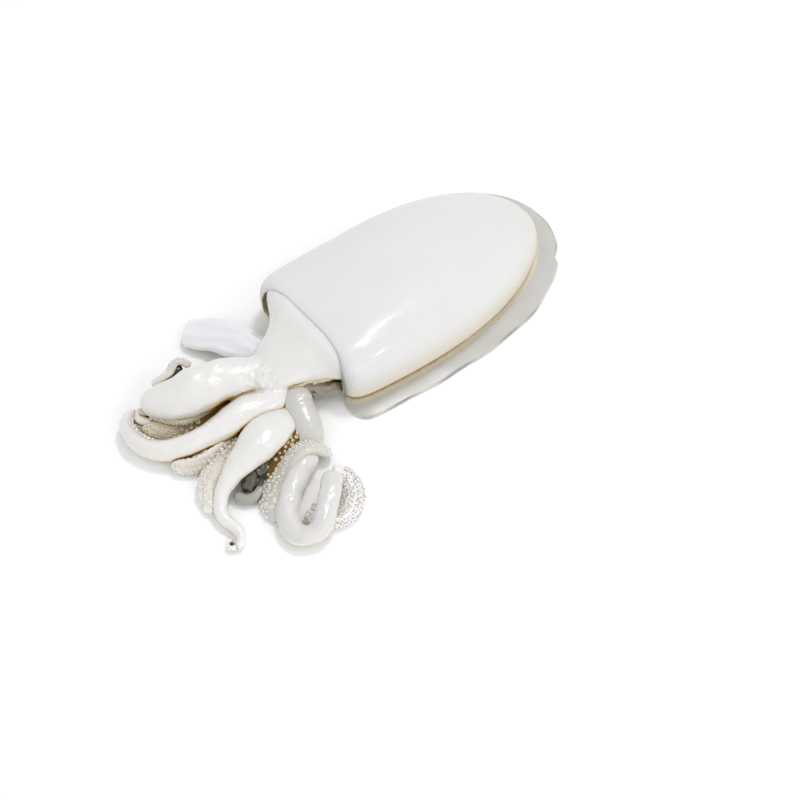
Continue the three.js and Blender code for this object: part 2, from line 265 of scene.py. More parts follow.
# %% Build a flesh material
def wet_flesh(
    name, pale, darker, tinted, depth, wrinkle, fibre=0.0, roughness=0.26, coat=1.0, dark=False, juice_and_shade=1.0
):
    """Raw muscle under a film of water. Depth, wrinkle and fibre are in millimetres."""
    material = bpy.data.materials.new(name)
    material.use_nodes = True
    tree = material.node_tree
    shader = tree.nodes["Principled BSDF"]
    place = add_node(tree, "ShaderNodeTexCoord", {}).outputs["Object"]
    along = add_node(tree, "ShaderNodeAttribute", {}, attribute_name="fibre").outputs["Vector"]
    tint = add_node(tree, "ShaderNodeAttribute", {}, attribute_name="tint").outputs["Fac"]
    fold = add_node(tree, "ShaderNodeAttribute", {}, attribute_name="fold").outputs["Fac"]
    wet = add_node(tree, "ShaderNodeAttribute", {}, attribute_name="wet").outputs["Fac"]

    # Patterns, each with its real size and how much fine detail it has
    patterns = []
    sizes = ((place, CLOUD_SIZE, 3), (place, WRINKLE_SIZE, 4), (place, GRAIN_SIZE, 2), (along, FIBRE_SIZE, 3))
    for vector, size, detail in sizes:
        inputs = {"Vector": vector, "Scale": 1 / (size * MM), "Detail": detail}
        patterns.append(add_node(tree, "ShaderNodeTexNoise", inputs).outputs["Fac"])
    clouds, wrinkles, grain, fibres = patterns

    # Sums of patterns: how deep a place lies in a fold, and how high the surface stands
    sums = []
    fold_parts = ((wrinkles, STAIN_AND_SHADE_PATCHINESS), (fold, juice_and_shade))
    relief_parts = ((grain, GRAIN_SHARE * wrinkle), (wrinkles, wrinkle), (fibres, fibre))
    for parts in (fold_parts, relief_parts):
        total = 0.0
        for value, weight in parts:
            inputs = {0: value, 1: weight, 2: total}
            total = add_node(tree, "ShaderNodeMath", inputs, operation="MULTIPLY_ADD").outputs[0]
        sums.append(total)
    patchy_fold, relief = sums

    # Colour, from the pale flesh up: each layer has its share, the range where it sets in, and its colour.
    # The layers set by the fold are juice stain and painted shade.
    first_stains_and_shade, last_stains_and_shade = ({}, DARK_STAINS_AND_SHADE) if dark else (PALE_STAINS_AND_SHADE, DEEP_STAINS_AND_SHADE)
    layers = [(clouds, None, darker)]
    layers += [(patchy_fold, span, stain_and_shade) for stain_and_shade, span in first_stains_and_shade.items()]
    layers += [(tint, None, tinted)]
    layers += [(patchy_fold, span, stain_and_shade) for stain_and_shade, span in last_stains_and_shade.items()]
    colour = linear(pale)
    for share, span, above in layers:
        if span:
            inputs = {"Value": share, "From Min": span[0], "From Max": span[1]}
            stain_and_shade = add_node(tree, "ShaderNodeMapRange", inputs, interpolation_type="SMOOTHSTEP")
            share = stain_and_shade.outputs["Result"]
        inputs = {"Factor": share, COLOUR_A: colour, COLOUR_B: linear(above)}
        colour = add_node(tree, "ShaderNodeMix", inputs, data_type="RGBA").outputs[COLOUR_OUT]
    tree.links.new(colour, shader.inputs["Base Color"])

    # Relief, and gloss that is sharper where water has run together along the fibres
    bump = add_node(tree, "ShaderNodeBump", {"Height": relief, "Strength": 1.0, "Distance": MM})
    tree.links.new(bump.outputs["Normal"], shader.inputs["Normal"])
    tree.links.new(bump.outputs["Normal"], shader.inputs["Coat Normal"])
    inputs = {"Value": clouds, "To Min": roughness, "To Max": roughness + DRYNESS}
    dry = add_node(tree, "ShaderNodeMapRange", inputs).outputs["Result"]
    inputs = {"Value": fibres, "From Min": STREAKS[0], "From Max": STREAKS[1]}
    streaks = add_node(tree, "ShaderNodeMapRange", inputs, interpolation_type="SMOOTHSTEP")
    inputs = {0: wet, 1: streaks.outputs["Result"]}
    film = add_node(tree, "ShaderNodeMath", inputs, operation="MULTIPLY").outputs[0]
    sheen = add_node(tree, "ShaderNodeMix", {"Factor": film, NUMBER_A: dry, NUMBER_B: WET_ROUGHNESS})
    tree.links.new(sheen.outputs["Result"], shader.inputs["Roughness"])
    for socket, value in {**FLESH, "Subsurface Scale": depth * MM, "Coat Weight": coat}.items():
        shader.inputs[socket].default_value = value
    return material


# %% [markdown]
# ## The muscles
# Mantle, fin, arms and tentacles are all skinned muscle. They differ in how dry and how thick they are,
# and in how much juice stain and painted shade their folds get. Each gets a pale and a slightly darker
# white, which drift into each other in patches, and the colour of the skin that is left on it, which on the
# mantle is painted shade towards the table. Light goes 3 or 4 mm into the thick pieces, so that they glow.

# %% Muscle materials
# sucker-side skin, drawn darker than it is as painted shade of the gaps it lies in
OCHRE_SKIN_AND_SHADE = "#7A560A"

# Mantle muscle, skinned and almost dry: matt white with a soft inner glow, and cream painted shade towards
# the table
mantle_flesh = wet_flesh(
    "skinned_mantle_muscle", "#DFDFDF", "#DADADA", "#D2C5A6",
    depth=3.0, wrinkle=0.03, fibre=0.04, roughness=0.5, coat=0.1, juice_and_shade=0.38,
)
# A thin membrane: greyer than the mantle because less flesh sends light back, and darker in patches along its
# rim
fin_flesh = wet_flesh(
    "fin_membrane_with_dark_rim", "#CAC9C5", "#BEBDB9", "#6A6A6E",
    depth=1.5, wrinkle=0.1, fibre=0.05, roughness=0.4, coat=0.3, juice_and_shade=1.4,
)
# Wet arm muscle: warm white with small sharp highlights and fine lengthwise fibres
arm_flesh = wet_flesh("raw_arm_muscle", "#E7E6E4", "#DFDEDC", OCHRE_SKIN_AND_SHADE, depth=4.0, wrinkle=0.18, fibre=0.3)
# Tentacle muscle is more see-through, so it looks a little greyer than the arms
tentacle_flesh = wet_flesh(
    "raw_tentacle_muscle", "#DCDBDA", "#D1D0CF", OCHRE_SKIN_AND_SHADE, depth=4.0, wrinkle=0.18, fibre=0.3
)
# Muscle of the short stub: greyer than the arms, with the same glow and fibres
stub_flesh = wet_flesh(
    "grey_stub_muscle", "#D0CFCB", "#C4C3BF", OCHRE_SKIN_AND_SHADE, depth=4.0, wrinkle=0.18, fibre=0.3
)
# The flap is thin and cold white with a breath of violet
flap_flesh = wet_flesh(
    "thin_violet_muscle", "#EDECEF", "#E2E1E6", OCHRE_SKIN_AND_SHADE, depth=3.0, wrinkle=0.08, fibre=0.25
)
print("muscle materials:", len(bpy.data.materials))

# %% [markdown]
# ## Skin with suckers
# The sucker side of an arm keeps its skin, ochre at the root and paler to the tip. Its ochre is drawn
# darker than the skin is, as painted shade of the gaps it lies in. Skin is thin, so light goes in by less
# than a millimetre and the colour stays strong. A deep glow would wash it out to grey. In the gaps the gloss
# is low too, because a wet film there would only mirror the white arms around it.

# %% Sucker skin materials
# Frilled edges: crumpled white skin, ochre only near the root
frill_flesh = wet_flesh(
    "frilled_arm_edge", "#F4F1EC", "#ECE8E0", OCHRE_SKIN_AND_SHADE,
    depth=0.6, wrinkle=0.3, roughness=0.4, coat=0.4, juice_and_shade=0.45,
)
# Skin in the gap between two arms: golden brown with painted shade, and cream at its end
ochre_flesh = wet_flesh(
    "ochre_sucker_skin", "#EFEAE0", "#E6DFD0", OCHRE_SKIN_AND_SHADE, depth=0.4, wrinkle=0.25, roughness=0.6, coat=0.0
)
# The strip along the tentacle: grey-white, crumpled and shiny
strip_flesh = wet_flesh(
    "grey_white_strip", "#DADAD4", "#CBCBC6", OCHRE_SKIN_AND_SHADE, depth=0.8, wrinkle=0.3, juice_and_shade=0.6
)
# Suckers on pale skin: white beads with a faint cream cup
white_suckers = wet_flesh(
    "white_suckers", "#F3F1EC", "#E8E7E4", "#DCD5C2", depth=0.5, wrinkle=0.05, juice_and_shade=0.6
)
# Suckers on ochre skin: cream beads with an ochre cup
sucker_flesh = wet_flesh(
    "cream_suckers", "#EFE8D6", "#E4D9BF", "#BCA878", depth=0.3, wrinkle=0.05, juice_and_shade=0.7
)
# The club's pad: clean white, so that its many dark cups read as specks
club_flesh = wet_flesh(
    "speckled_club_pad", "#F4F3F1", "#ECEAE7", "#EEECE8", depth=0.5, wrinkle=0.1, juice_and_shade=0.6
)
# The club's suckers: white rims around grey-brown cups
club_suckers = wet_flesh(
    "tiny_club_suckers", "#F6F5F3", "#EFEDEA", "#857A6C", depth=0.3, wrinkle=0.05, juice_and_shade=0.6
)
print("flesh materials so far:", len(bpy.data.materials))

# %% [markdown]
# ## Dark remains
# Cleaning leaves some dark tissue: the ragged head and a grey arm tip. Other dark things are painted
# shade: arm tips drawn slate-dark, the web drawn brown, and nearly black pieces in a curl and in a fold.
# Cream stains would look wrong on them, so juice stain and painted shade only make them darker.

# %% Materials of the dark remains
# Ragged tissue of the head: grey-brown, and violet-grey on the far side
tissue_flesh = wet_flesh("ragged_head_tissue", "#9A9082", "#776E62", "#CFCED6", depth=0.5, wrinkle=0.3)
# Craggy tissue under the mouth's rim: grey-brown, with nearly black painted shade in its pits
crag_flesh = wet_flesh(
    "craggy_mouth_tissue", "#B0A798", "#857B6D", OCHRE_SKIN_AND_SHADE,
    depth=0.5, wrinkle=0.3, roughness=0.35, coat=0.6, dark=True,
)
# A grey arm tip that curls round the slate-coloured ones
grey_flesh = wet_flesh(
    "grey_arm_tip", "#B9BAB2", "#8F918A", "#8F918A", depth=0.4, wrinkle=0.3, fibre=0.1, dark=True
)
# Arm tips lying in the shade: lumpy and wet, drawn slate-dark as painted shade
slate_shade_flesh = wet_flesh(
    "slate_painted_shade_arm_tip", "#6E6C60", "#3F3D36", "#3A3630", depth=0.3, wrinkle=0.35, fibre=0.1, dark=True
)
# The web between two arms: ochre skin, drawn golden brown and dull as painted shade
brown_flesh = wet_flesh(
    "ochre_web_in_painted_shade", "#84611A", "#58400E", "#5A4320",
    depth=0.3, wrinkle=0.15, fibre=0.1, roughness=0.6, coat=0.0, dark=True,
)
# Painted shade: nearly black pieces in a curl and in a fold, with a wet glint
black_painted_shade = wet_flesh(
    "nearly_black_painted_shade", "#33261D", "#1E1612", "#5A4433", depth=0.4, wrinkle=0.2, fibre=0.1, dark=True
)
print("flesh materials:", len(bpy.data.materials))

# %% [markdown]
# ## Settling a piece
# Each finished piece rides on the one body of the model and stands for one of its two solids. All of that
# is one call, so that no piece forgets a part of it.

# %% Dress a piece
folding_pieces = []  # pieces that get juice stain and painted shade in their folds


def dress(piece, node, material):
    piece.data.materials.clear()
    piece.data.materials.append(material)
    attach(piece, "root")
    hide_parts(node)
    folding_pieces.append(piece)
    print(piece.name, len(piece.data.polygons), "faces")


# %% [markdown]
# ## The mantle's outline
# The sac is a thick-walled bag: a smooth dome above the table, widest a little ahead of its middle, drawn
# in to a blunt tail that bends a little sideways. A scaled half ball would be too round, so the section is
# a superellipse, which has steeper sides and a flatter top, most of all at the mouth.

# %% Work out the mantle's rings
MANTLE_LENGTH = 169
MANTLE_HALF_WIDTH = 50.5
MANTLE_HEIGHT = mantle_high.z / MM
MOUTH_CENTRE, TAIL_BEND = -2, 4
WIDEST_AT = 0.42
MOUTH_WIDTH_SHARE, MOUTH_HEIGHT_SHARE = 0.9, 0.9
TAIL_WIDTH_POWER, TAIL_HEIGHT_POWER, TAIL_FIN_POWER = 2, 1.7, 2.5
MOUTH_SIDE_POWER, BODY_SIDE_POWER, BOXY_LENGTH = 4, 2.5, 60
EDGE_HEIGHT, UNDERSIDE = 9, 1.5
MOUTH_CORNER = 9
RECESS_SIDE, RECESS_TOP, RECESS_FOOT = 1.6, 6.4, 3
RECESS_POWER = 1.5
POCKET_DEPTH, POCKET_NARROWING, POCKET_FLOOR = 40, 9, 4.8
SAC_AROUND = 48
TAIL_CROWDING = 1.15
LEAST_HALF_SIZE = 0.4


def signed_power(value, power):
    return math.copysign(abs(value) ** power, value)


def mantle_share(along, mouth_share, tail_power):
    if along < WIDEST_AT:
        return 1 - (1 - mouth_share) * ((WIDEST_AT - along) / WIDEST_AT) ** 2
    aft = (along - WIDEST_AT) / (1 - WIDEST_AT)
    return math.sqrt(max(0, 1 - aft**tail_power))


def mantle_centre(x):
    return MOUTH_CENTRE + TAIL_BEND * (x / MANTLE_LENGTH) ** 2


def corner_cut(ahead):
    """What a rounded corner takes off, as a share of its radius. Ahead is 1 at the very front."""
    return 1 - math.sqrt(1 - max(0, ahead) ** 2)


def sac_ring(x, inset, foot):
    along = x / MANTLE_LENGTH
    half_width = MANTLE_HALF_WIDTH * mantle_share(along, MOUTH_WIDTH_SHARE, TAIL_WIDTH_POWER)
    half_width -= MOUTH_CORNER * corner_cut(1 - x / MOUTH_CORNER) + inset
    half_width = max(half_width, LEAST_HALF_SIZE)
    rise = (MANTLE_HEIGHT - EDGE_HEIGHT) * mantle_share(along, MOUTH_HEIGHT_SHARE, TAIL_HEIGHT_POWER)
    top = EDGE_HEIGHT + max(rise - inset, LEAST_HALF_SIZE)
    side_power = mix(MOUTH_SIDE_POWER, BODY_SIDE_POWER, smoothstep(0, BOXY_LENGTH, x))
    ring = []
    for step in range(SAC_AROUND):
        angle = 2 * math.pi * step / SAC_AROUND
        up = math.sin(angle)
        power = 2 / side_power if up > 0 else 1
        reach = top - EDGE_HEIGHT if up > 0 else EDGE_HEIGHT - foot
        y = mantle_centre(x) + half_width * signed_power(math.cos(angle), power)
        z = EDGE_HEIGHT + reach * signed_power(up, power)
        recess = RECESS_SIDE + RECESS_TOP * max(0, up) ** RECESS_POWER + RECESS_FOOT * (1 - z / top) ** 2
        ring.append(spot(x + recess * max(0, 1 - x / POCKET_DEPTH), y, z))
    return ring


def tail_shares(count):
    """Shares of a length, closer together where the tail turns in."""
    return [math.sin(math.pi / 2 * step / count) ** TAIL_CROWDING for step in range(1, count + 1)]


print("mantle", MANTLE_LENGTH, "mm long and", round(MANTLE_HEIGHT, 1), "mm high")

# %% [markdown]
# ## The mantle's sac
# Wall, lip and outside are made together from one chain of rings: it starts deep in the mouth, comes
# forward, rolls over the rounded lip and runs back to the tail. The water on the sac has run together on
# the front of its near shoulder, so that part is glossier than the rest.

# %% Model the sac
WALL, LIP_WALL = 3.6, 1.4  # the wall gets thinner towards the lip
LIP = ((1.0, 1.35), (0.3, 1.15), (0.1, 0.85), (0.5, 0.45), (1.6, 0.15), (4.2, 0))  # place and inset
POCKET_STATIONS = (1, 0.8, 0.6, 0.4, 0.2, 0.1)
SAC_STATIONS = 20
SAC_BUMP, SAC_UNEVENNESS = 38, 0.9
LOW_SHADE, LOW_SHADE_HEIGHTS = 0.75, (27, 4)  # painted shade: towards the table the flesh is drawn creamier and darker
WET_LINE = ((3, -41), (50, -38))  # water has run together along this line, seen from above
WET_WIDTHS = (14, 3)  # how far from the line the water ends, and where it is full

rings = [
    sac_ring(share * POCKET_DEPTH, mix(LIP_WALL, WALL, share) + POCKET_NARROWING * share**2, POCKET_FLOOR)
    for share in POCKET_STATIONS
]
rings += [sac_ring(x, inset, mix(POCKET_FLOOR, UNDERSIDE, 1 - inset / LIP_WALL)) for x, inset in LIP]
rings += [sac_ring(share * MANTLE_LENGTH, 0, UNDERSIDE) for share in tail_shares(SAC_STATIONS)]
sac = extruded("mantle_sac", rings)
rounded(sac)
uneven(sac, SAC_BUMP, SAC_UNEVENNESS)
mark_fibres_lengthwise(sac)


def distance_to_line(x, y, line):
    start, end = Vector(line[0]), Vector(line[1])
    place = Vector((x, y))
    share = (place - start).dot(end - start) / (end - start).length_squared
    return (place - start.lerp(end, min(max(share, 0), 1))).length


sac_places = [(vertex.co - MOUTH) / MM for vertex in sac.data.vertices]
# painted shade: the sac's tint mark makes it creamier and darker towards the table
mark(sac, "tint", [LOW_SHADE * smoothstep(*LOW_SHADE_HEIGHTS, place.z) for place in sac_places])
from_water = [distance_to_line(place.x, place.y, WET_LINE) for place in sac_places]
mark(sac, "wet", [smoothstep(*WET_WIDTHS, distance) for distance in from_water])
print("sac vertices:", len(sac_places))

# %% [markdown]
# ## The fin's outline
# A thin fin runs round the sac's lower edge. Its outline is the sac's own, let out by the fin's width, with
# soft ripples, cut front corners and a small tear near the tail. It could be drawn by hand as a curve, but
# then it would not follow the sac when one of the sac's values changes.

# %% Work out the fin's outline
FIN_WIDTH, FIN_TAIL_SHARE = 10, 1.2  # the fin is a little wider behind the tail
FIN_REACH = MANTLE_LENGTH + FIN_TAIL_SHARE * FIN_WIDTH
FIN_CORNER_LENGTH = {-1: 3, 1: 45}  # on the near side and on the far side
FIN_CORNER_CUT = {-1: 5, 1: 22}
FIN_FRONT_DEPTH, FIN_FRONT_LENGTH, FIN_NEAR_CORNER = 16, 30, (0.5, 0.8)
FIN_STATIONS = 44
FIN_FRONT_SHARES = (0.7, 0.4, 0.1, -0.2, -0.5, -0.6, -0.7, -0.8, -0.9)
FIN_RIPPLE, FIN_RIPPLE_LENGTH = 0.5, 37
TEAR_X, TEAR_Y, TEAR_DEPTH, TEAR_HALF_WIDTH, TEAR_HALF_LENGTH = 168, -30, 4, 2.5, 12


def fin_half_width(x, side):
    share = mantle_share(x / FIN_REACH, MOUTH_WIDTH_SHARE, TAIL_FIN_POWER)
    ripple = FIN_RIPPLE * math.sin(2 * math.pi * x / FIN_RIPPLE_LENGTH + side)
    cut = FIN_CORNER_CUT[side] * corner_cut(1 - (x - FIN_START) / FIN_CORNER_LENGTH[side])
    half_width = (MANTLE_HALF_WIDTH + FIN_WIDTH) * share + ripple * min(1, 2 * share) - cut
    return max(half_width, 2 * LEAST_HALF_SIZE)


def fin_point(x, share):
    """A place on the fin's outline. Share is -1 on the near side and 1 on the far side."""
    y = mantle_centre(x) + share * fin_half_width(x, -1 if share < 0 else 1)
    nearness = max(0, 1 - (x - FIN_START) / FIN_FRONT_LENGTH)
    set_back = FIN_FRONT_DEPTH * nearness * (1 - smoothstep(*FIN_NEAR_CORNER, -share))
    tear = math.exp(-(((y - TEAR_Y) / TEAR_HALF_WIDTH) ** 2) - ((x - TEAR_X) / TEAR_HALF_LENGTH) ** 2)
    return x + set_back - TEAR_DEPTH * tear, y


stations = [mix(FIN_START, FIN_REACH - LEAST_HALF_SIZE, share) for share in [0, *tail_shares(FIN_STATIONS)]]
outline = [fin_point(x, -1) for x in stations]
outline += [fin_point(x, 1) for x in reversed(stations)]
outline += [fin_point(FIN_START, share) for share in FIN_FRONT_SHARES]
print("points of the fin's outline:", len(outline))

# %% [markdown]
# ## The fin
# The fin is translucent, so it looks greyer than the sac, and its rim is darker in patches. The same
# extruded circle makes it, only lying flat: its rings are the outline, drawn in less and less along the
# underside, then round the edge, and drawn in again over the top. A flat sheet with a Solidify modifier
# would be as thick at its edge as in its middle, and the real fin isn't.

# %% Model the fin
FIN_WAVE, FIN_WAVE_LENGTH = 0.8, 21
FIN_SPINE = (45, 130)  # the fin is drawn in towards this stretch of the middle line


def fin_ring(drawn_in, height, waved):
    ring = []
    for x, y in outline:
        spine_x = min(max(x, FIN_SPINE[0]), FIN_SPINE[1])
        wave = waved * FIN_WAVE * (0.5 + noise.noise(Vector((x, y, 0)) / FIN_WAVE_LENGTH))
        ring.append(spot(mix(x, spine_x, drawn_in), mix(y, mantle_centre(x), drawn_in), height + wave))
    return ring


FIN_SECTION = (  # how far each ring is drawn in, its height, its share of the wave and of the dark rim
    (0.4, 0.5, 0, 0),
    (0.14, 0.3, 0.2, 0),
    (0.02, 0.1, 0.8, 0.2),
    (0, 0.5, 1, 1),
    (0.006, 0.9, 1, 0.8),
    (0.02, 1.3, 0.8, 0),
    (0.10, 2.1, 0.4, 0),
    (0.2, 3.0, 0, 0),
    (0.4, 3.4, 0, 0),
)
fin_rings = [fin_ring(*section[:3]) for section in FIN_SECTION]
fin = extruded("mantle_fin", fin_rings)
RIM_PATCH = 16  # dark stretches of the rim are about this long, in millimetres
RIM_DARK = (-0.35, 0.25)
rim_shares = []
for ring, section in zip(fin_rings, FIN_SECTION):
    patches = [noise.noise(place / (RIM_PATCH * MM)) for place in ring]
    rim_shares += [section[3] * smoothstep(*RIM_DARK, patch) for patch in patches]
mark(fin, "tint", rim_shares)
mark_fibres_lengthwise(fin)
rounded(fin)
print("fin faces:", len(fin.data.polygons))

# %% [markdown]
# ## Paths
# An arm lies in a soft curve, so its path is a Bezier curve through a few points, and Blender sets the
# handles. Converted to a mesh, the curve becomes a close chain of points, along which lengths are easily
# measured.

# %% Draw a smooth path
PATH_POINTS = 24  # points between two knots of a path


def smooth_path(knots):
    """Close points along a Bezier curve through the knots."""
    bpy.ops.object.select_all(action="DESELECT")
    bpy.ops.curve.primitive_bezier_curve_add()
    curve = bpy.context.object
    curve.data.resolution_u = PATH_POINTS
    spline = curve.data.splines[0]
    spline.bezier_points.add(len(knots) - 2)
    for point, knot in zip(spline.bezier_points, knots):
        point.co = spot(*knot)
        point.handle_left_type = "AUTO"
        point.handle_right_type = "AUTO"
    bpy.ops.object.convert(target="MESH")
    path = bpy.context.object
    points = [vertex.co.copy() for vertex in path.data.vertices]
    bpy.data.objects.remove(path)
    return points


# %% [markdown]
# ## Limbs along a path
# An arm is a tapering body along such a path. Its section is rounder on the outer side and flatter on the
# side with the suckers, and turns along the way. A curve with a round bevel would be quicker, but its
# section could be neither flattened nor turned like this, so the curve only gives the path, and rings are
# extruded along it.

# %% Sections of limbs
LIMB_STEP = 3.5
SUCKER_SIDE_DEPTH = 0.7
CAP_ANGLES = (25, 48, 68, 83)
LUMPS = ((14, 0.07), (5, 0.025))  # size in millimetres, and height as a share of the limb's half-width
RIDGES_ON_UNIT = 3  # the noise pattern has about this many ridges round a circle of radius 1
PATH_STEP = 0.01  # a path's direction is taken over this share of it, to each side
TINT_EDGE = (0.1, 0.8)  # how far round the sucker side the tint fades in


class Limb:
    """A path with a width, a thickness and a turn of its sucker side, all in millimetres and degrees."""

    def __init__(
        self,
        path,
        width,
        thickness,
        turn=(0, 0),
        bluntness=1.0,
        tint=(0, 0),
        lumpiness=1.0,
        ridges=(0, 0.0),
        sides=14,
    ):
        self.points = smooth_path(path)
        self.width = width
        self.thickness = thickness
        self.turn = turn
        self.bluntness = bluntness
        self.tint = tint
        self.lumpiness = lumpiness
        self.ridge_count, self.ridge_depth = ridges
        self.sides = sides
        self.marks = [0]
        for start, end in zip(self.points, self.points[1:]):
            self.marks.append(self.marks[-1] + (end - start).length / MM)
        self.length = self.marks[-1]

    def point(self, share):
        along = min(max(share, 0), 1) * self.length
        step = next((i for i, mark in enumerate(self.marks[1:]) if mark >= along), len(self.marks) - 2)
        gap = max(self.marks[step + 1] - self.marks[step], 1e-9)
        return self.points[step].lerp(self.points[step + 1], (along - self.marks[step]) / gap)

    def directions(self, share):
        """The direction across the section and the one that its outer side faces."""
        ahead = (self.point(share + PATH_STEP) - self.point(share - PATH_STEP)).normalized()
        down = Vector((0, 0, -1))
        down = (down - ahead * down.dot(ahead)).normalized()
        right = down.cross(ahead)
        angle = math.radians(profile(self.turn, share))
        outer = -(down * math.cos(angle) + right * math.sin(angle))
        return outer.cross(ahead), outer

    def half_sizes(self, share):
        return profile(self.width, share) / 2 * MM, profile(self.thickness, share) / 2 * MM

    def surface(self, share, angle, scale=1.0):
        """A point of the limb's surface. Sines above 0 are the outer side, and below 0 the sucker side."""
        across, outer = self.directions(share)
        half_width, half_thickness = self.half_sizes(share)
        depth = 1 if math.sin(angle) > 0 else SUCKER_SIDE_DEPTH
        round_limb = Vector((math.cos(angle), math.sin(angle), 0)) * (self.ridge_count / RIDGES_ON_UNIT)
        depth *= 1 + self.ridge_depth * noise.noise(round_limb + Vector((0, 0, 2 * share)))
        centre = self.point(share)
        place = across * (half_width * math.cos(angle)) + outer * (half_thickness * depth * math.sin(angle))
        lumps = sum(height * noise.noise((centre + place) / (size * MM)) for size, height in LUMPS)
        return centre + place * (scale * (1 + self.lumpiness * lumps))

    def shares(self):
        """Stations along the limb, each with the share of the full section that is left there."""
        cap = min(self.bluntness * self.half_sizes(1)[0] / MM, self.length / 3)
        plain = 1 - cap / self.length
        count = math.ceil(plain * self.length / LIMB_STEP)
        stations = [(plain * step / count, 1) for step in range(count + 1)]
        for degrees in CAP_ANGLES:
            angle = math.radians(degrees)
            stations.append((mix(plain, 1, math.sin(angle)), math.cos(angle)))
        return stations

    def piece(self, name):
        angles = [2 * math.pi * step / self.sides for step in range(self.sides)]
        rounding_loss = (4 + 2 * math.cos(2 * math.pi / self.sides)) / 6  # what subdividing takes off a ring
        rings = []
        tints = []
        fibres = []
        for share, scale in self.shares():
            rings.append([self.surface(share, angle, scale / rounding_loss) for angle in angles])
            tint = profile(self.tint, share)
            tints += [tint * smoothstep(*TINT_EDGE, -math.sin(angle)) for angle in angles]
            along = share * self.length * MM * FIBRE_STRETCH
            half_width, half_thickness = self.half_sizes(share)
            fibres += [(along, half_width * math.cos(a), half_thickness * math.sin(a)) for a in angles]
        made = extruded(name, rings)
        mark(made, "tint", tints)
        mark_fibres(made, fibres)
        rounded(made)
        return made


# %% [markdown]
# ## The arms on the far side
# Eight arms lie as they fell. Some show their smooth outer side, others the ochre skin with suckers. Each
# is a piece of its own, so that real contact lines and shadows appear where they lie on each other. The
# points of a path are listed: one at each bend is enough. First come the flap, the curled tip of the
# broadest arm, and the long crescent arm with the two that lie beside it.

# %% Arms on the far side
LIMBS = {
    "far_flap": Limb(
        path=[(-12, -2, 13), (-18, 10, 12), (-21.5, 24.5, 9.5), (-27, 39.5, 6.5), (-39.8, 53.5, 4)],
        width=(14, 20, 24, 24, 21),
        thickness=(11, 8, 7),
        bluntness=0.3,
        lumpiness=1.6,
        ridges=(9, 0.6),
        sides=32,
    ),
    "tongue_tip": Limb(
        path=[
            (-78, 24, 14),
            (-74, 24.4, 16.5),
            (-70, 23, 18),
            (-66, 23.5, 19.5),
            (-63, 25.8, 20.5),
            (-59, 25.4, 21),
            (-56.8, 23, 20),
            (-55.7, 20.4, 18),
        ],
        width=(6, 6, 5, 5),
        thickness=(4.5, 4.5, 4, 4),
        turn=(180, 180),
        tint=(0.1, 0.1),
    ),
    "crescent_arm": Limb(
        path=[
            (-20, -14, 7),
            (-32, -19.5, 8.5),
            (-47, -18.5, 10.5),
            (-65.5, -19, 10.5),
            (-83.5, -16.5, 9),
            (-97, -8.5, 8),
            (-102, 5, 7.5),
            (-100, 16, 7),
            (-92, 22, 7),
        ],
        width=(17, 19, 16, 13, 8),
        thickness=(22, 24, 15, 12.5, 8),
        turn=(70, 90, 120),
        tint=(0.9, 0.9, 0.5, 0.1),
    ),
    "inner_crescent_arm": Limb(
        path=[
            (-31, -11, 6),
            (-44, -8, 5),
            (-56, -5.5, 6),
            (-66, -5, 6),
            (-75, -3, 5.5),
            (-83, 1, 5),
            (-90, 5, 5),
            (-96, 10, 5),
        ],
        width=(8, 10, 14, 15, 13, 9),
        thickness=(7, 8, 10, 10, 9, 7),
        turn=(215, 205),
        tint=(1, 1, 1, 0.85, 0.3, 0.1),
    ),
    "under_crescent_arm": Limb(
        path=[(-36, -20, 7), (-56, -24, 6), (-75, -29, 5), (-88, -27, 5), (-96, -20, 4.5)],
        width=(14, 12, 8),
        thickness=(12, 11, 8),
        turn=(-90, -120),
        tint=(1, 0.9, 0.4, 0.1),
        lumpiness=2.0,
    ),
}
print("limbs so far:", len(LIMBS))

# %% [markdown]
# ## The arms on the near side
# One arm lies on top and ends in a tight curl. Another peeps out from under it, one is a short stub in a
# sleeve of flesh, and a narrow strip with suckers bends round the tentacle.

# %% Arms on the near side
LIMBS |= {
    "curled_arm": Limb(
        path=[
            (-28, -25, 4),
            (-34, -32, 7.5),
            (-46, -38, 11.5),
            (-62, -43.5, 11.5),
            (-77.5, -48.5, 9.5),
            (-89, -55.5, 7),
            (-93.5, -65, 5),
            (-91.5, -73, 4),
            (-92, -79, 3.6),
            (-95.5, -82.4, 3.2),
            (-98.5, -83, 3),
        ],
        width=(20, 23, 25, 23, 17, 11, 8, 7, 6, 4.5),
        thickness=(10, 14, 16, 15, 12, 9, 7, 6, 5.5, 4.5),
        lumpiness=1.2,
    ),
    "under_curled_arm": Limb(
        path=[
            (-34, -26, 8),
            (-48, -30, 7.5),
            (-64, -34, 6.5),
            (-80, -38, 5.5),
            (-91, -46, 5),
            (-95, -58, 4),
        ],
        width=(18, 17, 9),
        thickness=(12, 11, 8),
        turn=(170, 160),
        tint=(1, 0.7, 0.2, 0),
        lumpiness=2.0,
    ),
    "stub_sleeve": Limb(
        path=[(-13, -15, 9), (-18, -24, 10.5), (-22, -34, 11)],
        width=(16, 17, 18),
        thickness=(10, 10, 10),
        bluntness=0.5,
    ),
    "short_stub": Limb(
        path=[(-17, -22, 9.5), (-22, -34, 10), (-25, -44, 8.5), (-27.5, -52, 6), (-29, -58, 3.5)],
        width=(15, 17, 18, 17, 12),
        thickness=(10, 10, 10, 8, 5),
        bluntness=0.8,
    ),
    "strip_arm": Limb(
        path=[
            (-70, -82, 3.5),
            (-70, -74, 4),
            (-63.6, -66.8, 5),
            (-55.6, -61.8, 6),
            (-45.5, -56.5, 7.5),
            (-37, -56, 9),
            (-29, -60, 7.5),
            (-25, -67, 4),
        ],
        width=(8, 13, 16, 16, 10),
        thickness=(6, 9, 9, 9, 6),
        turn=(205, 215),
        tint=(0.05, 0.35, 0.15, 0),
        lumpiness=1.6,
    ),
}
print("limbs so far:", len(LIMBS))
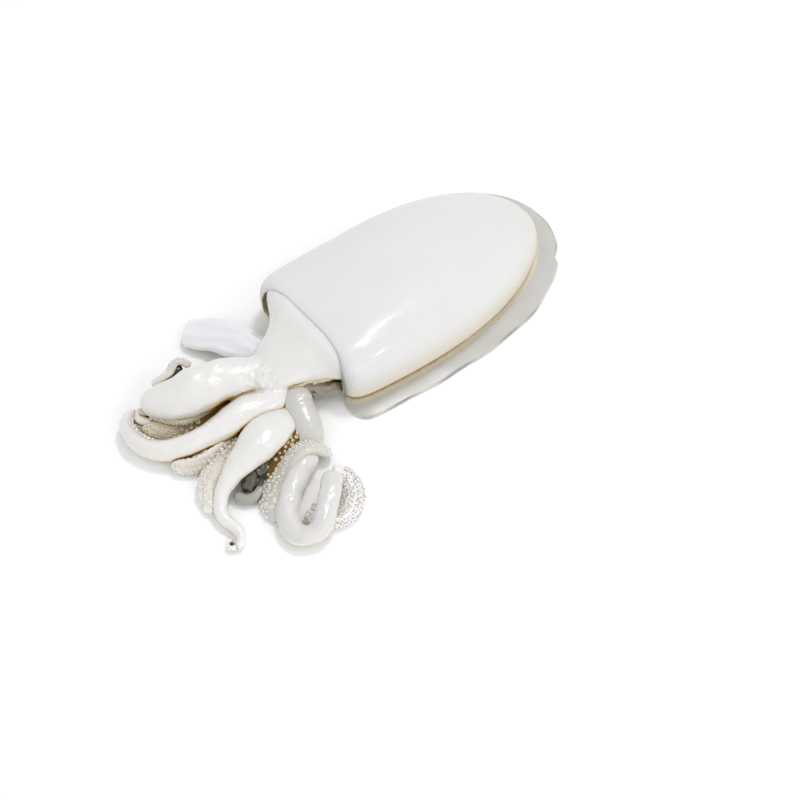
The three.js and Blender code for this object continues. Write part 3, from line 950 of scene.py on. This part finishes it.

# %% [markdown]
# ## What shows in the gaps
# Between the arms one sees arm tips and a web drawn dark as painted shade, and craggy tissue under the
# mouth's rim. They are short limbs too. The lumps and the tissue are much rougher than an arm, so they have
# more sides: bumps need vertices to move.

# %% Lumps, tissue and web
LIMBS |= {
    # the two slate lumps are arm tips drawn dark as painted shade
    "first_slate_lump": Limb(
        path=[(-56, -47, 5), (-61, -52, 6), (-65, -55.5, 5.5)],
        width=(9, 9, 8),
        thickness=(9, 9, 8),
        lumpiness=4.0,
        ridges=(4, 0.6),
        sides=24,
    ),
    "second_slate_lump": Limb(
        path=[(-66, -52, 5), (-70, -55, 5.5), (-75, -57.5, 4.5)],
        width=(8, 9, 7),
        thickness=(8, 8, 7),
        lumpiness=4.0,
        ridges=(4, 0.6),
        sides=24,
    ),
    "mouth_tissue": Limb(
        path=[(-15, -22, 9), (-5, -29.5, 8.5), (7, -35, 8.5)],
        width=(9, 10, 10),
        thickness=(10, 11, 9),
        lumpiness=4.0,
        ridges=(4, 0.6),
        sides=24,
    ),
    "pale_ring_tip": Limb(
        path=[(-66, -60, 4), (-71, -63, 3.5), (-76, -62.5, 3.5), (-79, -59, 3.5), (-79, -55, 4)],
        width=(6, 7, 6),
        thickness=(5, 5, 5),
        tint=(0.3, 0.3),
    ),
    "ochre_web": Limb(
        path=[(-34, -42, 9), (-42, -47, 8), (-52, -53, 6.5), (-62, -58, 5)],
        width=(12, 17, 16),
        thickness=(8, 8, 7),
        turn=(180, 180),
        lumpiness=2.0,
    ),
}
print("limbs so far:", len(LIMBS))

# %% [markdown]
# ## The tentacle
# A tentacle is a long smooth stalk with suckers only on the club at its end. This one lies in a loop, and
# its club has slid under the stalk.

# %% Tentacle stalk and club
LIMBS |= {
    "tentacle_stalk": Limb(
        path=[
            (-33, -57, 4.5),
            (-38, -62.5, 6.5),
            (-49, -69, 7.5),
            (-61, -78, 6.5),
            (-69, -89, 5.8),
            (-69, -99, 5.8),
            (-62, -103, 6.5),
            (-52, -98, 9),
            (-42, -89, 10.5),
            (-33, -79, 9.5),
        ],
        width=(12, 12, 11.5),
        thickness=(10.5, 10.5, 10),
        bluntness=0.8,
        lumpiness=1.8,
        ridges=(5, 0.05),
        sides=24,
    ),
    "tentacle_club": Limb(
        path=[
            (-32, -77, 7),
            (-28, -80, 4.5),
            (-28, -88, 3),
            (-34, -97, 3),
            (-43, -101, 3),
            (-51, -97, 3),
            (-57, -87, 3),
        ],
        width=(10, 13, 13),
        thickness=(6, 6.4, 6),
        turn=(180, 180),
        tint=(1, 1),
    ),
}
print("limbs so far:", len(LIMBS))

# %% [markdown]
# ## Tips and edges
# Small things finish the arms: the thin end of the crescent arm, the broadest arm's edge that carries its
# fringe of suckers, and the ring of the curled tip. Two nearly black pieces are painted shade, one inside
# the ring and one in a fold.

# %% Small tips and edges
LIMBS |= {
    "thin_end": Limb(
        path=[
            (-84, 12, 8),
            (-88, 16, 7.5),
            (-91.5, 19.5, 7),
            (-94, 17.5, 6.5),
            (-92.5, 13, 6.5),
            (-88, 9, 7),
        ],
        width=(6, 7, 6),
        thickness=(5, 5, 5),
    ),
    "broad_arm_edge": Limb(
        path=[
            (-88.7, 11, 10.5),
            (-83.2, 3, 10.5),
            (-77.7, -2.5, 10.5),
            (-69.7, -4.8, 10.5),
            (-57.7, -5.2, 11),
        ],
        width=(3, 4, 3),
        thickness=(3, 3, 3),
    ),
    "curl_ring": Limb(
        path=[
            (-97.2, -82.6, 3),
            (-100.2, -82.6, 3),
            (-101.6, -80, 3),
            (-99.9, -77.6, 3),
            (-97.2, -78.4, 3.2),
        ],
        width=(3.4, 2.8, 2.4),
        thickness=(4, 3.6, 3),
    ),
    # painted shade: a nearly black piece inside the curl's ring
    "curl_bead": Limb(
        path=[(-98.9, -80.3, 2), (-98.9, -80.3, 3.4), (-98.9, -80.2, 4.4)],
        width=(3, 3, 2.6),
        thickness=(3, 3, 2.6),
    ),
    # painted shade: a nearly black piece in the hole under the tongue tip's arch
    "dark_lining": Limb(
        path=[(-76, 22.8, 15), (-72.5, 21.6, 16), (-68, 21.4, 17), (-64, 23.4, 17.6), (-59, 22.8, 17.6)],
        width=(2, 3, 6, 9),
        thickness=(3, 3, 5, 6),
    ),
}
print("limbs in all:", len(LIMBS))

# %% [markdown]
# ## From paths to flesh
# Now every limb becomes a mesh. Some have real bumps, such as frills, wrinkles and crags. A bump map would
# not change their outline, so they are subdivided and displaced by a cloud pattern instead.

# %% Model the limbs
BUMPS = {  # size and height
    "far_flap": (8, 1.0),
    "tentacle_stalk": (9, 1.6),
    "curled_arm": (8, 1.1),
    "under_crescent_arm": (2.0, 3.0),
    "under_curled_arm": (2.0, 3.2),
    "mouth_tissue": (2.6, 2.6),
    "first_slate_lump": (2.4, 2.5),
    "second_slate_lump": (2.4, 2.5),
}
arms = {name: limb.piece(name) for name, limb in LIMBS.items()}
for name, (size, height) in BUMPS.items():
    rounded(arms[name])
    uneven(arms[name], size, height)
print("limbs:", len(arms))

# %% [markdown]
# ## The funnel and the broadest arm
# The funnel is a broad flattened cone of muscle that fills the mouth, and the broadest arm grows out of its
# end. The funnel's rings are arches: flat below and round or boxy above. They could be sculpted, but a list
# of arches keeps the funnel just inside the mantle's lip.

# %% Model the funnel
HEAD_AROUND = 28


def arch_ring(x, y, half_width, edge, top, foot, power=2.0):
    ring = []
    for step in range(HEAD_AROUND):
        angle = 2 * math.pi * step / HEAD_AROUND
        up = math.sin(angle)
        rise = top - edge if up > 0 else edge - foot
        aside = signed_power(math.cos(angle), 2 / power)
        ring.append(spot(x, y + half_width * aside, edge + rise * signed_power(up, 2 / power)))
    return ring


FUNNEL = (  # x, y, half-width, the heights of edge, top and foot, and how boxy the section is
    (-37, -8, 4, 14.5, 17, 13, 2),
    (-34, -8, 10, 15, 20.5, 12.5, 2),
    (-24, -7.5, 14.5, 16, 23.2, 13, 2),
    (-12, -7, 19.5, 17, 27, 14.5, 2.2),
    (-4, -6.5, 23.5, 18, 30, 15.5, 2.6),
    (2, -3.5, 32, 18.5, 32.8, 16, 3),
    (7, -0.7, 40, 18.5, 34.8, 15.5, 3.6),
    (14, -0.5, 40.5, 18, 34.2, 15, 3.6),
    (24, -1, 35, 18, 30, 15, 3),
)
tongue_limb = Limb(
    path=[
        (-14, -7, 15),
        (-26, -5, 15.5),
        (-48, 2.5, 17),
        (-61, 5, 17),
        (-73.5, 8.7, 15.5),
        (-88.5, 21, 11.5),
    ],
    width=(20, 21, 25, 28, 24, 15),
    thickness=(12, 13, 15, 15, 13, 11),
    turn=(20, 20, 16),
    bluntness=0.9,
)
funnel = extruded("funnel_and_upper_arms", [arch_ring(*section) for section in FUNNEL])
rounded(funnel)
print("funnel faces:", len(funnel.data.polygons))

# %% [markdown]
# ## One skin
# Where muscles grow together there is no crease. So pieces can be joined, remeshed into one skin and
# smoothed. A vertex group says how much each vertex is smoothed, because limbs would lose their shape if
# they were smoothed as much as their roots. A Boolean union would leave sharp lines.

# %% Join pieces into one skin
SKIN_VOXEL = 0.65
SMOOTHING_FACTOR = 0.5


def one_skin(pieces, voxel, smoothing, weight_of):
    """Joins pieces into the first one, with one smoothed skin. The weight says how much each vertex moves."""
    bpy.ops.object.select_all(action="DESELECT")
    for piece in pieces:
        piece.select_set(True)
    skin = pieces[0]
    bpy.context.view_layer.objects.active = skin
    bpy.ops.object.join()
    remesh = skin.modifiers.new("one_skin", "REMESH")
    remesh.mode = "VOXEL"
    remesh.voxel_size = voxel * MM
    remesh.use_smooth_shade = True
    apply_modifiers(skin)
    group = skin.vertex_groups.new(name="smoothed")
    for vertex in skin.data.vertices:
        group.add([vertex.index], weight_of(vertex), "REPLACE")
    blend = skin.modifiers.new("blend", "SMOOTH")
    blend.factor = SMOOTHING_FACTOR
    blend.iterations = smoothing
    blend.vertex_group = group.name
    apply_modifiers(skin)


# %% [markdown]
# ## Funnel and upper arms
# The broadest arm leaves the funnel with no crease at all, and the long crescent arm comes out from under
# it, so these three become one skin. It is smoothed most where the roots meet, and there the flesh is also
# finely wrinkled, by moving each vertex along its normal.

# %% Join the funnel with the upper arms
SKIN_SMOOTHING = 14
KNUCKLE = (-31, -13)  # where the roots meet, seen from above
ROOT_SIZE = 16  # the roots are smoothed most within this distance of the knuckle
LEAST_SMOOTHING = 0.25
KNUCKLE_REACH, KNUCKLE_WRINKLE, KNUCKLE_HEIGHT = (14, 3), 2.3, 0.9
SKIN_BUMP, SKIN_UNEVENNESS = 8, 0.45


def from_knuckle(vertex):
    return ((vertex.co - MOUTH).xy / MM - Vector(KNUCKLE)).length


def root_weight(vertex):
    return mix(LEAST_SMOOTHING, 1, smoothstep(2 * ROOT_SIZE, ROOT_SIZE, from_knuckle(vertex)))


crescent = arms.pop("crescent_arm")
crescent_shell = shell_of(crescent)
one_skin([funnel, tongue_limb.piece("broad_arm"), crescent], SKIN_VOXEL, SKIN_SMOOTHING, root_weight)
normals = [vertex.normal.copy() for vertex in funnel.data.vertices]
for vertex, normal in zip(funnel.data.vertices, normals):
    closeness = smoothstep(*KNUCKLE_REACH, from_knuckle(vertex))
    height = KNUCKLE_HEIGHT * closeness * noise.noise(vertex.co / (KNUCKLE_WRINKLE * MM))
    height += SKIN_UNEVENNESS * noise.noise(vertex.co / (SKIN_BUMP * MM))
    vertex.co += normal * (height * MM)
mark_fibres_lengthwise(funnel)
carry_tint(crescent_shell, funnel)
print("funnel and upper arms:", len(funnel.data.vertices), "vertices")

# %% [markdown]
# ## The short stub
# The short stub leaves its sleeve of flesh with no crease either. Both are small, so they are smoothed a
# little and all over.

# %% Join the stub with its sleeve
STUB_SMOOTHING = 5


def full_weight(vertex):
    return 1.0


stub = arms.pop("short_stub")
one_skin([stub, arms.pop("stub_sleeve")], SKIN_VOXEL, STUB_SMOOTHING, full_weight)
mark_fibres_lengthwise(stub)
print("short stub:", len(stub.data.vertices), "vertices")

# %% [markdown]
# ## The head under the funnel
# Between funnel and table sits the head itself, grey-brown and ragged where it was cleaned, and violet-grey
# on the far side. Little of it shows, so a plain body with strong bumps of two sizes is enough.

# %% Model the head
HEAD_BUMPS = ((7, 3.5), (2.5, 1.5))  # size and height
HEAD_FAR_SIDE = (0, 12)  # where the violet-grey sets in
HEAD = (  # x, y, half-width, and the heights of edge, top and foot
    (-36, -12, 8, 9, 14, 3),
    (-28, -11, 16, 9, 18, 0.5),
    (-14, -9, 20, 9, 20, 0.5),
    (2, -6, 24, 12, 20, 5.8),
    (9, -2, 36, 14, 25, 6.6),
    (24, -2, 36, 14, 25, 6.6),
    (33, -2, 28, 14, 21, 8),
)
head = extruded("head_tissue", [arch_ring(*section) for section in HEAD])
rounded(head, 2)
for size, height in HEAD_BUMPS:
    uneven(head, size, height)
asides = [(vertex.co.y - MOUTH.y) / MM for vertex in head.data.vertices]
mark(head, "tint", [smoothstep(*HEAD_FAR_SIDE, aside) for aside in asides])
print("head vertices:", len(asides))

# %% [markdown]
# ## Suckers
# A sucker is a small cup with a thick rim on a short foot. It is one more extruded circle: up from the
# foot, over the rim and down into the cup, which is darker. Hundreds of copies follow, so it has only a
# few dozen faces. The copies of one arm are written into one mesh, in rows that get smaller to the tip.

# %% Model one sucker
SUCKER_SIDES = 8
# Radius and height of each ring, for a sucker of 1 mm radius
SUCKER_PROFILE = ((1, -0.8), (1, 0.45), (0.92, 0.7), (0.74, 0.8), (0.58, 0.7), (0.44, 0.4))
CUP_TINTS = (0, 0, 0, 0, 0.6, 1)


def model_sucker():
    """Points and faces of a sucker of 1 mm radius that faces +Z."""
    steps = [2 * math.pi * step / SUCKER_SIDES for step in range(SUCKER_SIDES)]
    rings = [
        [Vector((radius * math.cos(step), radius * math.sin(step), height)) for step in steps]
        for radius, height in SUCKER_PROFILE
    ]
    cup = extruded("sucker", rings)
    points = [vertex.co.copy() for vertex in cup.data.vertices]
    faces = [list(polygon.vertices) for polygon in cup.data.polygons]
    bpy.data.objects.remove(cup)
    return points, faces


SUCKER_POINTS, SUCKER_FACES = model_sucker()
SUCKER_TINTS = [tint for tint in CUP_TINTS for side in range(SUCKER_SIDES)]
print("one sucker has", len(SUCKER_FACES), "faces")

# %% [markdown]
# ## Places for suckers
# A sucker sits on the surface that its arm has there and faces straight out of it. Sizes and places
# differ a little, as on the animal. The random draws are seeded, so each run gives the same suckers.

# %% Find places along a limb
SUCKER_TAPER = 0.6  # the last sucker of a row has this share of the first one's size
SUCKER_SIZES = (0.7, 1.2)
SUCKER_STRAY = 11  # degrees
STEP_ALONG, STEP_AROUND = 0.02, 0.1  # small steps that tell which way the surface runs
SUCKER_SEED = 7
draws = random.Random(SUCKER_SEED)


def sucker_row(limb, start, end, angles, size, pitch):
    """Places, directions and radii of suckers. Odd rows are set between the even ones."""
    found = []
    for row, degrees in enumerate(angles):
        along = start * limb.length + (row % 2) * size * pitch / 2
        while along < end * limb.length:
            share = along / limb.length
            taper = mix(1, SUCKER_TAPER, (share - start) / (end - start))
            radius = size / 2 * taper * draws.uniform(*SUCKER_SIZES)
            angle = math.radians(degrees + draws.uniform(-SUCKER_STRAY, SUCKER_STRAY))
            place = limb.surface(share, angle)
            ahead = limb.surface(share + STEP_ALONG, angle) - limb.surface(share - STEP_ALONG, angle)
            around = limb.surface(share, angle + STEP_AROUND) - limb.surface(share, angle - STEP_AROUND)
            out = around.normalized().cross(ahead.normalized())
            if out.dot(place - limb.point(share)) < 0:
                out = -out
            found.append((place, out, radius))
            along += 2 * radius * pitch
    return found


# %% [markdown]
# ## Rows of suckers
# Only limbs that show their sucker side get suckers. Every second row starts half a step later, so that its
# suckers stand in the gaps, as they do on the animal. Linked objects would be quicker to set, but each limb's
# suckers are one piece here, with a mesh of its own.

# %% Set suckers along the limbs
SUCKER_SINK = 0.3  # the foot goes this share of the radius into the flesh
sucker_places = {}


def sucker_piece(name, found):
    sucker_places[name] = found
    points = []
    faces = []
    for place, out, radius in found:
        turn = out.to_track_quat("Z", "Y")
        first = len(points)
        foot = place - out * (SUCKER_SINK * radius * MM)
        points += [foot + turn @ (point * (radius * MM)) for point in SUCKER_POINTS]
        faces += [[first + index for index in face] for face in SUCKER_FACES]
    mesh = bpy.data.meshes.new(name)
    mesh.from_pydata(points, [], faces)
    made = bpy.data.objects.new(name, mesh)
    bpy.context.scene.collection.objects.link(made)
    mesh.polygons.foreach_set("use_smooth", [True] * len(mesh.polygons))
    mark(made, "tint", SUCKER_TINTS * len(found))
    return made


SUCKER_ROWS = {  # start and end along the limb, angles round it, size in millimetres, spacing in sizes
    "crescent_arm": (0.72, 0.98, (-125, -95), 2.2, 1.3),
    "inner_crescent_arm": (0.56, 0.97, (-140, -115, -90, -65, -40), 2.8, 1.2),
    "under_crescent_arm": (0.35, 0.97, (-170, -135, -100, -65), 2.5, 1.3),
    "under_curled_arm": (0.1, 0.96, (-175, -140, -105, -70, -35), 2.6, 1.3),
    "ochre_web": (0.05, 0.95, (-140, -105, -70), 2.3, 1.35),
    "strip_arm": (0.08, 0.96, (-150, -120, -90, -60), 1.8, 1.25),
    "tongue_tip": (0.5, 0.97, (-150, -110, -70, -30), 1.2, 1.2),
    "broad_arm_edge": (0.02, 0.98, (90, 125, 160, 195, 230), 1.7, 1.15),
    "tentacle_club": (0.1, 0.98, range(-170, 0, 17), 1.5, 1.12),
}
suckers = {}
for name, row in SUCKER_ROWS.items():
    suckers[name] = sucker_piece(name + "_suckers", sucker_row(LIMBS[name], *row))
print("pieces with suckers:", len(suckers))

# %% [markdown]
# ## Dress all pieces
# Every piece gets its flesh and takes the place of its solid. A table says which flesh a limb gets. A limb
# that isn't in it is plain arm muscle, and suckers that aren't in theirs are white.

# %% Give each piece its flesh
ARM_MATERIALS = {
    "far_flap": flap_flesh,
    "tentacle_club": club_flesh,
    "inner_crescent_arm": ochre_flesh,
    "strip_arm": strip_flesh,
    "under_crescent_arm": frill_flesh,
    "under_curled_arm": frill_flesh,
    "mouth_tissue": crag_flesh,
    "pale_ring_tip": grey_flesh,
    "tentacle_stalk": tentacle_flesh,
    "first_slate_lump": slate_shade_flesh,
    "second_slate_lump": slate_shade_flesh,
    "ochre_web": brown_flesh,
    "curl_bead": black_painted_shade,
    "dark_lining": black_painted_shade,
}
SUCKER_MATERIALS = {
    "tentacle_club": club_suckers,
    "inner_crescent_arm": sucker_flesh,
    "ochre_web": sucker_flesh,
    "broad_arm_edge": sucker_flesh,
}
dress(sac, "mantle", mantle_flesh)
dress(fin, "mantle", fin_flesh)
dress(funnel, "head", arm_flesh)
dress(head, "head", tissue_flesh)
for name, piece in arms.items():
    dress(piece, "head", ARM_MATERIALS.get(name, arm_flesh))
dress(stub, "head", stub_flesh)
for name, piece in suckers.items():
    dress(piece, "head", SUCKER_MATERIALS.get(name, white_suckers))

# %% [markdown]
# ## Where juice and painted shade gather
# From each point, short rays go out to all sides. The more of them that soon meet other flesh, the deeper
# the fold, and the more juice stain and painted shade it gets. The share is stored as the mark that the
# flesh materials read.

# %% Measure how deep a place lies
FOLD_REACH = 11 * MM
FOLD_RAYS = 24
SKIN_GAP = 0.25 * MM
# painted shade: steep sides are drawn this much creamier
SIDE_SHADE = 0.33
RIM_SHELTER = 0.75  # this share of the juice stain and painted shade is left out where the rim lies tight
RIM_FRONT, RIM_TOP = (-10, -2), (18, 24)  # where that place begins and is full, in x and in z


def half_ball(count):
    """Directions spread over the half ball round +Z, closer together near its pole."""
    turn = math.pi * (3 - math.sqrt(5))
    rays = []
    for step in range(count):
        share = (step + 0.5) / count
        flat = math.sqrt(share)
        angle = turn * step
        rays.append(Vector((flat * math.cos(angle), flat * math.sin(angle), math.sqrt(1 - share))))
    return rays


def all_flesh():
    points = []
    faces = []
    for piece in folding_pieces:
        if piece.name in sucker_places:
            continue
        first = len(points)
        points += [vertex.co for vertex in piece.data.vertices]
        faces += [[first + index for index in polygon.vertices] for polygon in piece.data.polygons]
    return BVHTree.FromPolygons(points, faces)


def fold_share(tree, place, normal, rays):
    turn = normal.to_track_quat("Z", "Y")
    start = place + normal * SKIN_GAP
    met = 0.0
    for ray in rays:
        distance = tree.ray_cast(start, turn @ ray, FOLD_REACH)[3]
        if distance is not None:
            met += 1 - distance / FOLD_REACH
    return met / len(rays)


def painted_side_shade(vertex):
    """Painted shade: steep sides are drawn a little creamier than what faces up."""
    return SIDE_SHADE * (1 - max(0, vertex.normal.z))


def under_rim(place):
    """How far a place belongs to the top of the mouth, where the rim lies tight and little juice stain and
    painted shade is laid.
    """
    x, _, z = (place - MOUTH) / MM
    return RIM_SHELTER * smoothstep(*RIM_FRONT, x) * smoothstep(*RIM_TOP, z)


# %% [markdown]
# ## Juice and painted shade on every piece
# Large pieces are measured at each vertex. A sucker is so small that one measure, at its top, is enough.
# Besides the folds, steep sides get a little painted shade, and the tight top of the mouth's rim gets less.

# %% Mark the folds
PRINTED_SHARES = (0.5, 0.75, 0.9, 0.98)
rays = half_ball(FOLD_RAYS)
flesh_tree = all_flesh()
for piece in folding_pieces:
    if piece.name in sucker_places:
        shares = []
        for place, out, radius in sucker_places[piece.name]:
            shares += [fold_share(flesh_tree, place + out * (radius * MM), out, rays)] * len(SUCKER_POINTS)
    else:
        shares = [fold_share(flesh_tree, vertex.co, vertex.normal, rays) for vertex in piece.data.vertices]
        shares = [share + painted_side_shade(vertex) for share, vertex in zip(shares, piece.data.vertices)]
        shares = [share * (1 - under_rim(vertex.co)) for share, vertex in zip(shares, piece.data.vertices)]
    mark(piece, "fold", shares)
    ordered = sorted(shares)
    typical = [round(ordered[int(part * (len(ordered) - 1))], 2) for part in PRINTED_SHARES]
    print(piece.name, "folds at the half, three quarters, nine tenths and most:", typical)

# %% [markdown]
# ## Last rounding
# The smooth bodies are subdivided once more. Then nothing may lie under the table, so points that went
# below it are set on it, as soft flesh flattens where it rests.

# %% Round the pieces and rest them on the table
for piece in (sac, fin, *arms.values()):
    rounded(piece)
for piece in folding_pieces:
    numbers = [0.0] * (3 * len(piece.data.vertices))
    piece.data.vertices.foreach_get("co", numbers)
    numbers[2::3] = [max(height, 0) for height in numbers[2::3]]
    piece.data.vertices.foreach_set("co", numbers)
    piece.data.update()
print("pieces:", len(folding_pieces))

# %% [markdown]
# ## The camera
# The camera looks down at 52 degrees from the near side. Its lens is worked out from what one pixel of the
# picture covers on the table, so the animal gets its right size in the picture without trying.

# %% Set up the camera
VIEW_AZIMUTH, VIEW_ELEVATION, VIEW_DISTANCE = math.radians(-38), math.radians(52), 1.0
VIEW_TARGET = spot(29.1, -56.9, 0)
PHOTO_SIDE, PIXEL = 800, 0.55 * MM  # the picture's side in pixels, and what one pixel covers on the table
SENSOR = 36

right = Vector((math.cos(VIEW_AZIMUTH), math.sin(VIEW_AZIMUTH), 0))
away = Vector((-math.sin(VIEW_AZIMUTH), math.cos(VIEW_AZIMUTH), 0))
up = Vector((0, 0, 1))
back = -away * math.cos(VIEW_ELEVATION) + up * math.sin(VIEW_ELEVATION)

bpy.ops.object.select_all(action="DESELECT")
bpy.ops.object.camera_add(location=VIEW_TARGET + back * VIEW_DISTANCE)
camera = bpy.context.object
camera.rotation_euler = (-back).to_track_quat("-Z", "Y").to_euler()
camera.data.sensor_width = SENSOR
camera.data.lens = SENSOR * VIEW_DISTANCE / (PIXEL * PHOTO_SIDE)
bpy.context.scene.camera = camera
print("lens", round(camera.data.lens, 1), "mm")

# %% [markdown]
# ## The table
# The animal lies on a plain white top. It is only the stage, so a large plane is enough, and it is far
# larger than the picture, so that no edge shows from any side.

# %% Set up the table
TABLE_SIZE, TABLE_ROUGHNESS = 8, 0.6
bpy.ops.object.select_all(action="DESELECT")
bpy.ops.mesh.primitive_plane_add(size=TABLE_SIZE)
table = bpy.context.object
table.name = "table"
# A matt white top: it mirrors nothing and only carries the soft shadows
white = bpy.data.materials.new("white_table")
white.use_nodes = True
white.node_tree.nodes["Principled BSDF"].inputs["Base Color"].default_value = linear("#FCFDFF")
white.node_tree.nodes["Principled BSDF"].inputs["Roughness"].default_value = TABLE_ROUGHNESS
table.data.materials.append(white)
print("table of", TABLE_SIZE, "m")

# %% [markdown]
# ## The light
# The light is very soft: a bright surround, and a large weak softbox low in front that fills the shadows. A
# small softbox high above draws the wet streaks along the arms, and a still smaller one on the right draws
# the second streak, on the mantle's near shoulder. One strong lamp would be simpler, but it would give hard
# shadows and a single glaring spot.

# %% Set up the light
SURROUND_STRENGTH = 0.78


def softbox(name, place, size, power):
    bpy.ops.object.light_add(type="AREA", location=place)
    light = bpy.context.object
    light.name = name
    light.data.size = size
    light.data.energy = power
    light.rotation_euler = (VIEW_TARGET - place).to_track_quat("-Z", "Y").to_euler()


SOFTBOXES = {  # how far right, away and up of the target, in metres, then size and power
    "softbox_top": (0.18, 0.36, 1.03, 0.2, 3.0),
    "softbox_side": (0.64, -0.2, 0.74, 0.1, 0.6),
    "fill_front": (0.45, -1.1, 0.38, 1.2, 4.8),
}
for name, (aside, behind, above, size, power) in SOFTBOXES.items():
    softbox(name, VIEW_TARGET + right * aside + away * behind + up * above, size, power)
world = bpy.data.worlds.new("bright_surround")
world.use_nodes = True
world.node_tree.nodes["Background"].inputs["Color"].default_value = linear("#FFFFFF")
world.node_tree.nodes["Background"].inputs["Strength"].default_value = SURROUND_STRENGTH
bpy.context.scene.world = world
bpy.context.scene.view_settings.view_transform = "Standard"
print("softboxes:", len(SOFTBOXES))
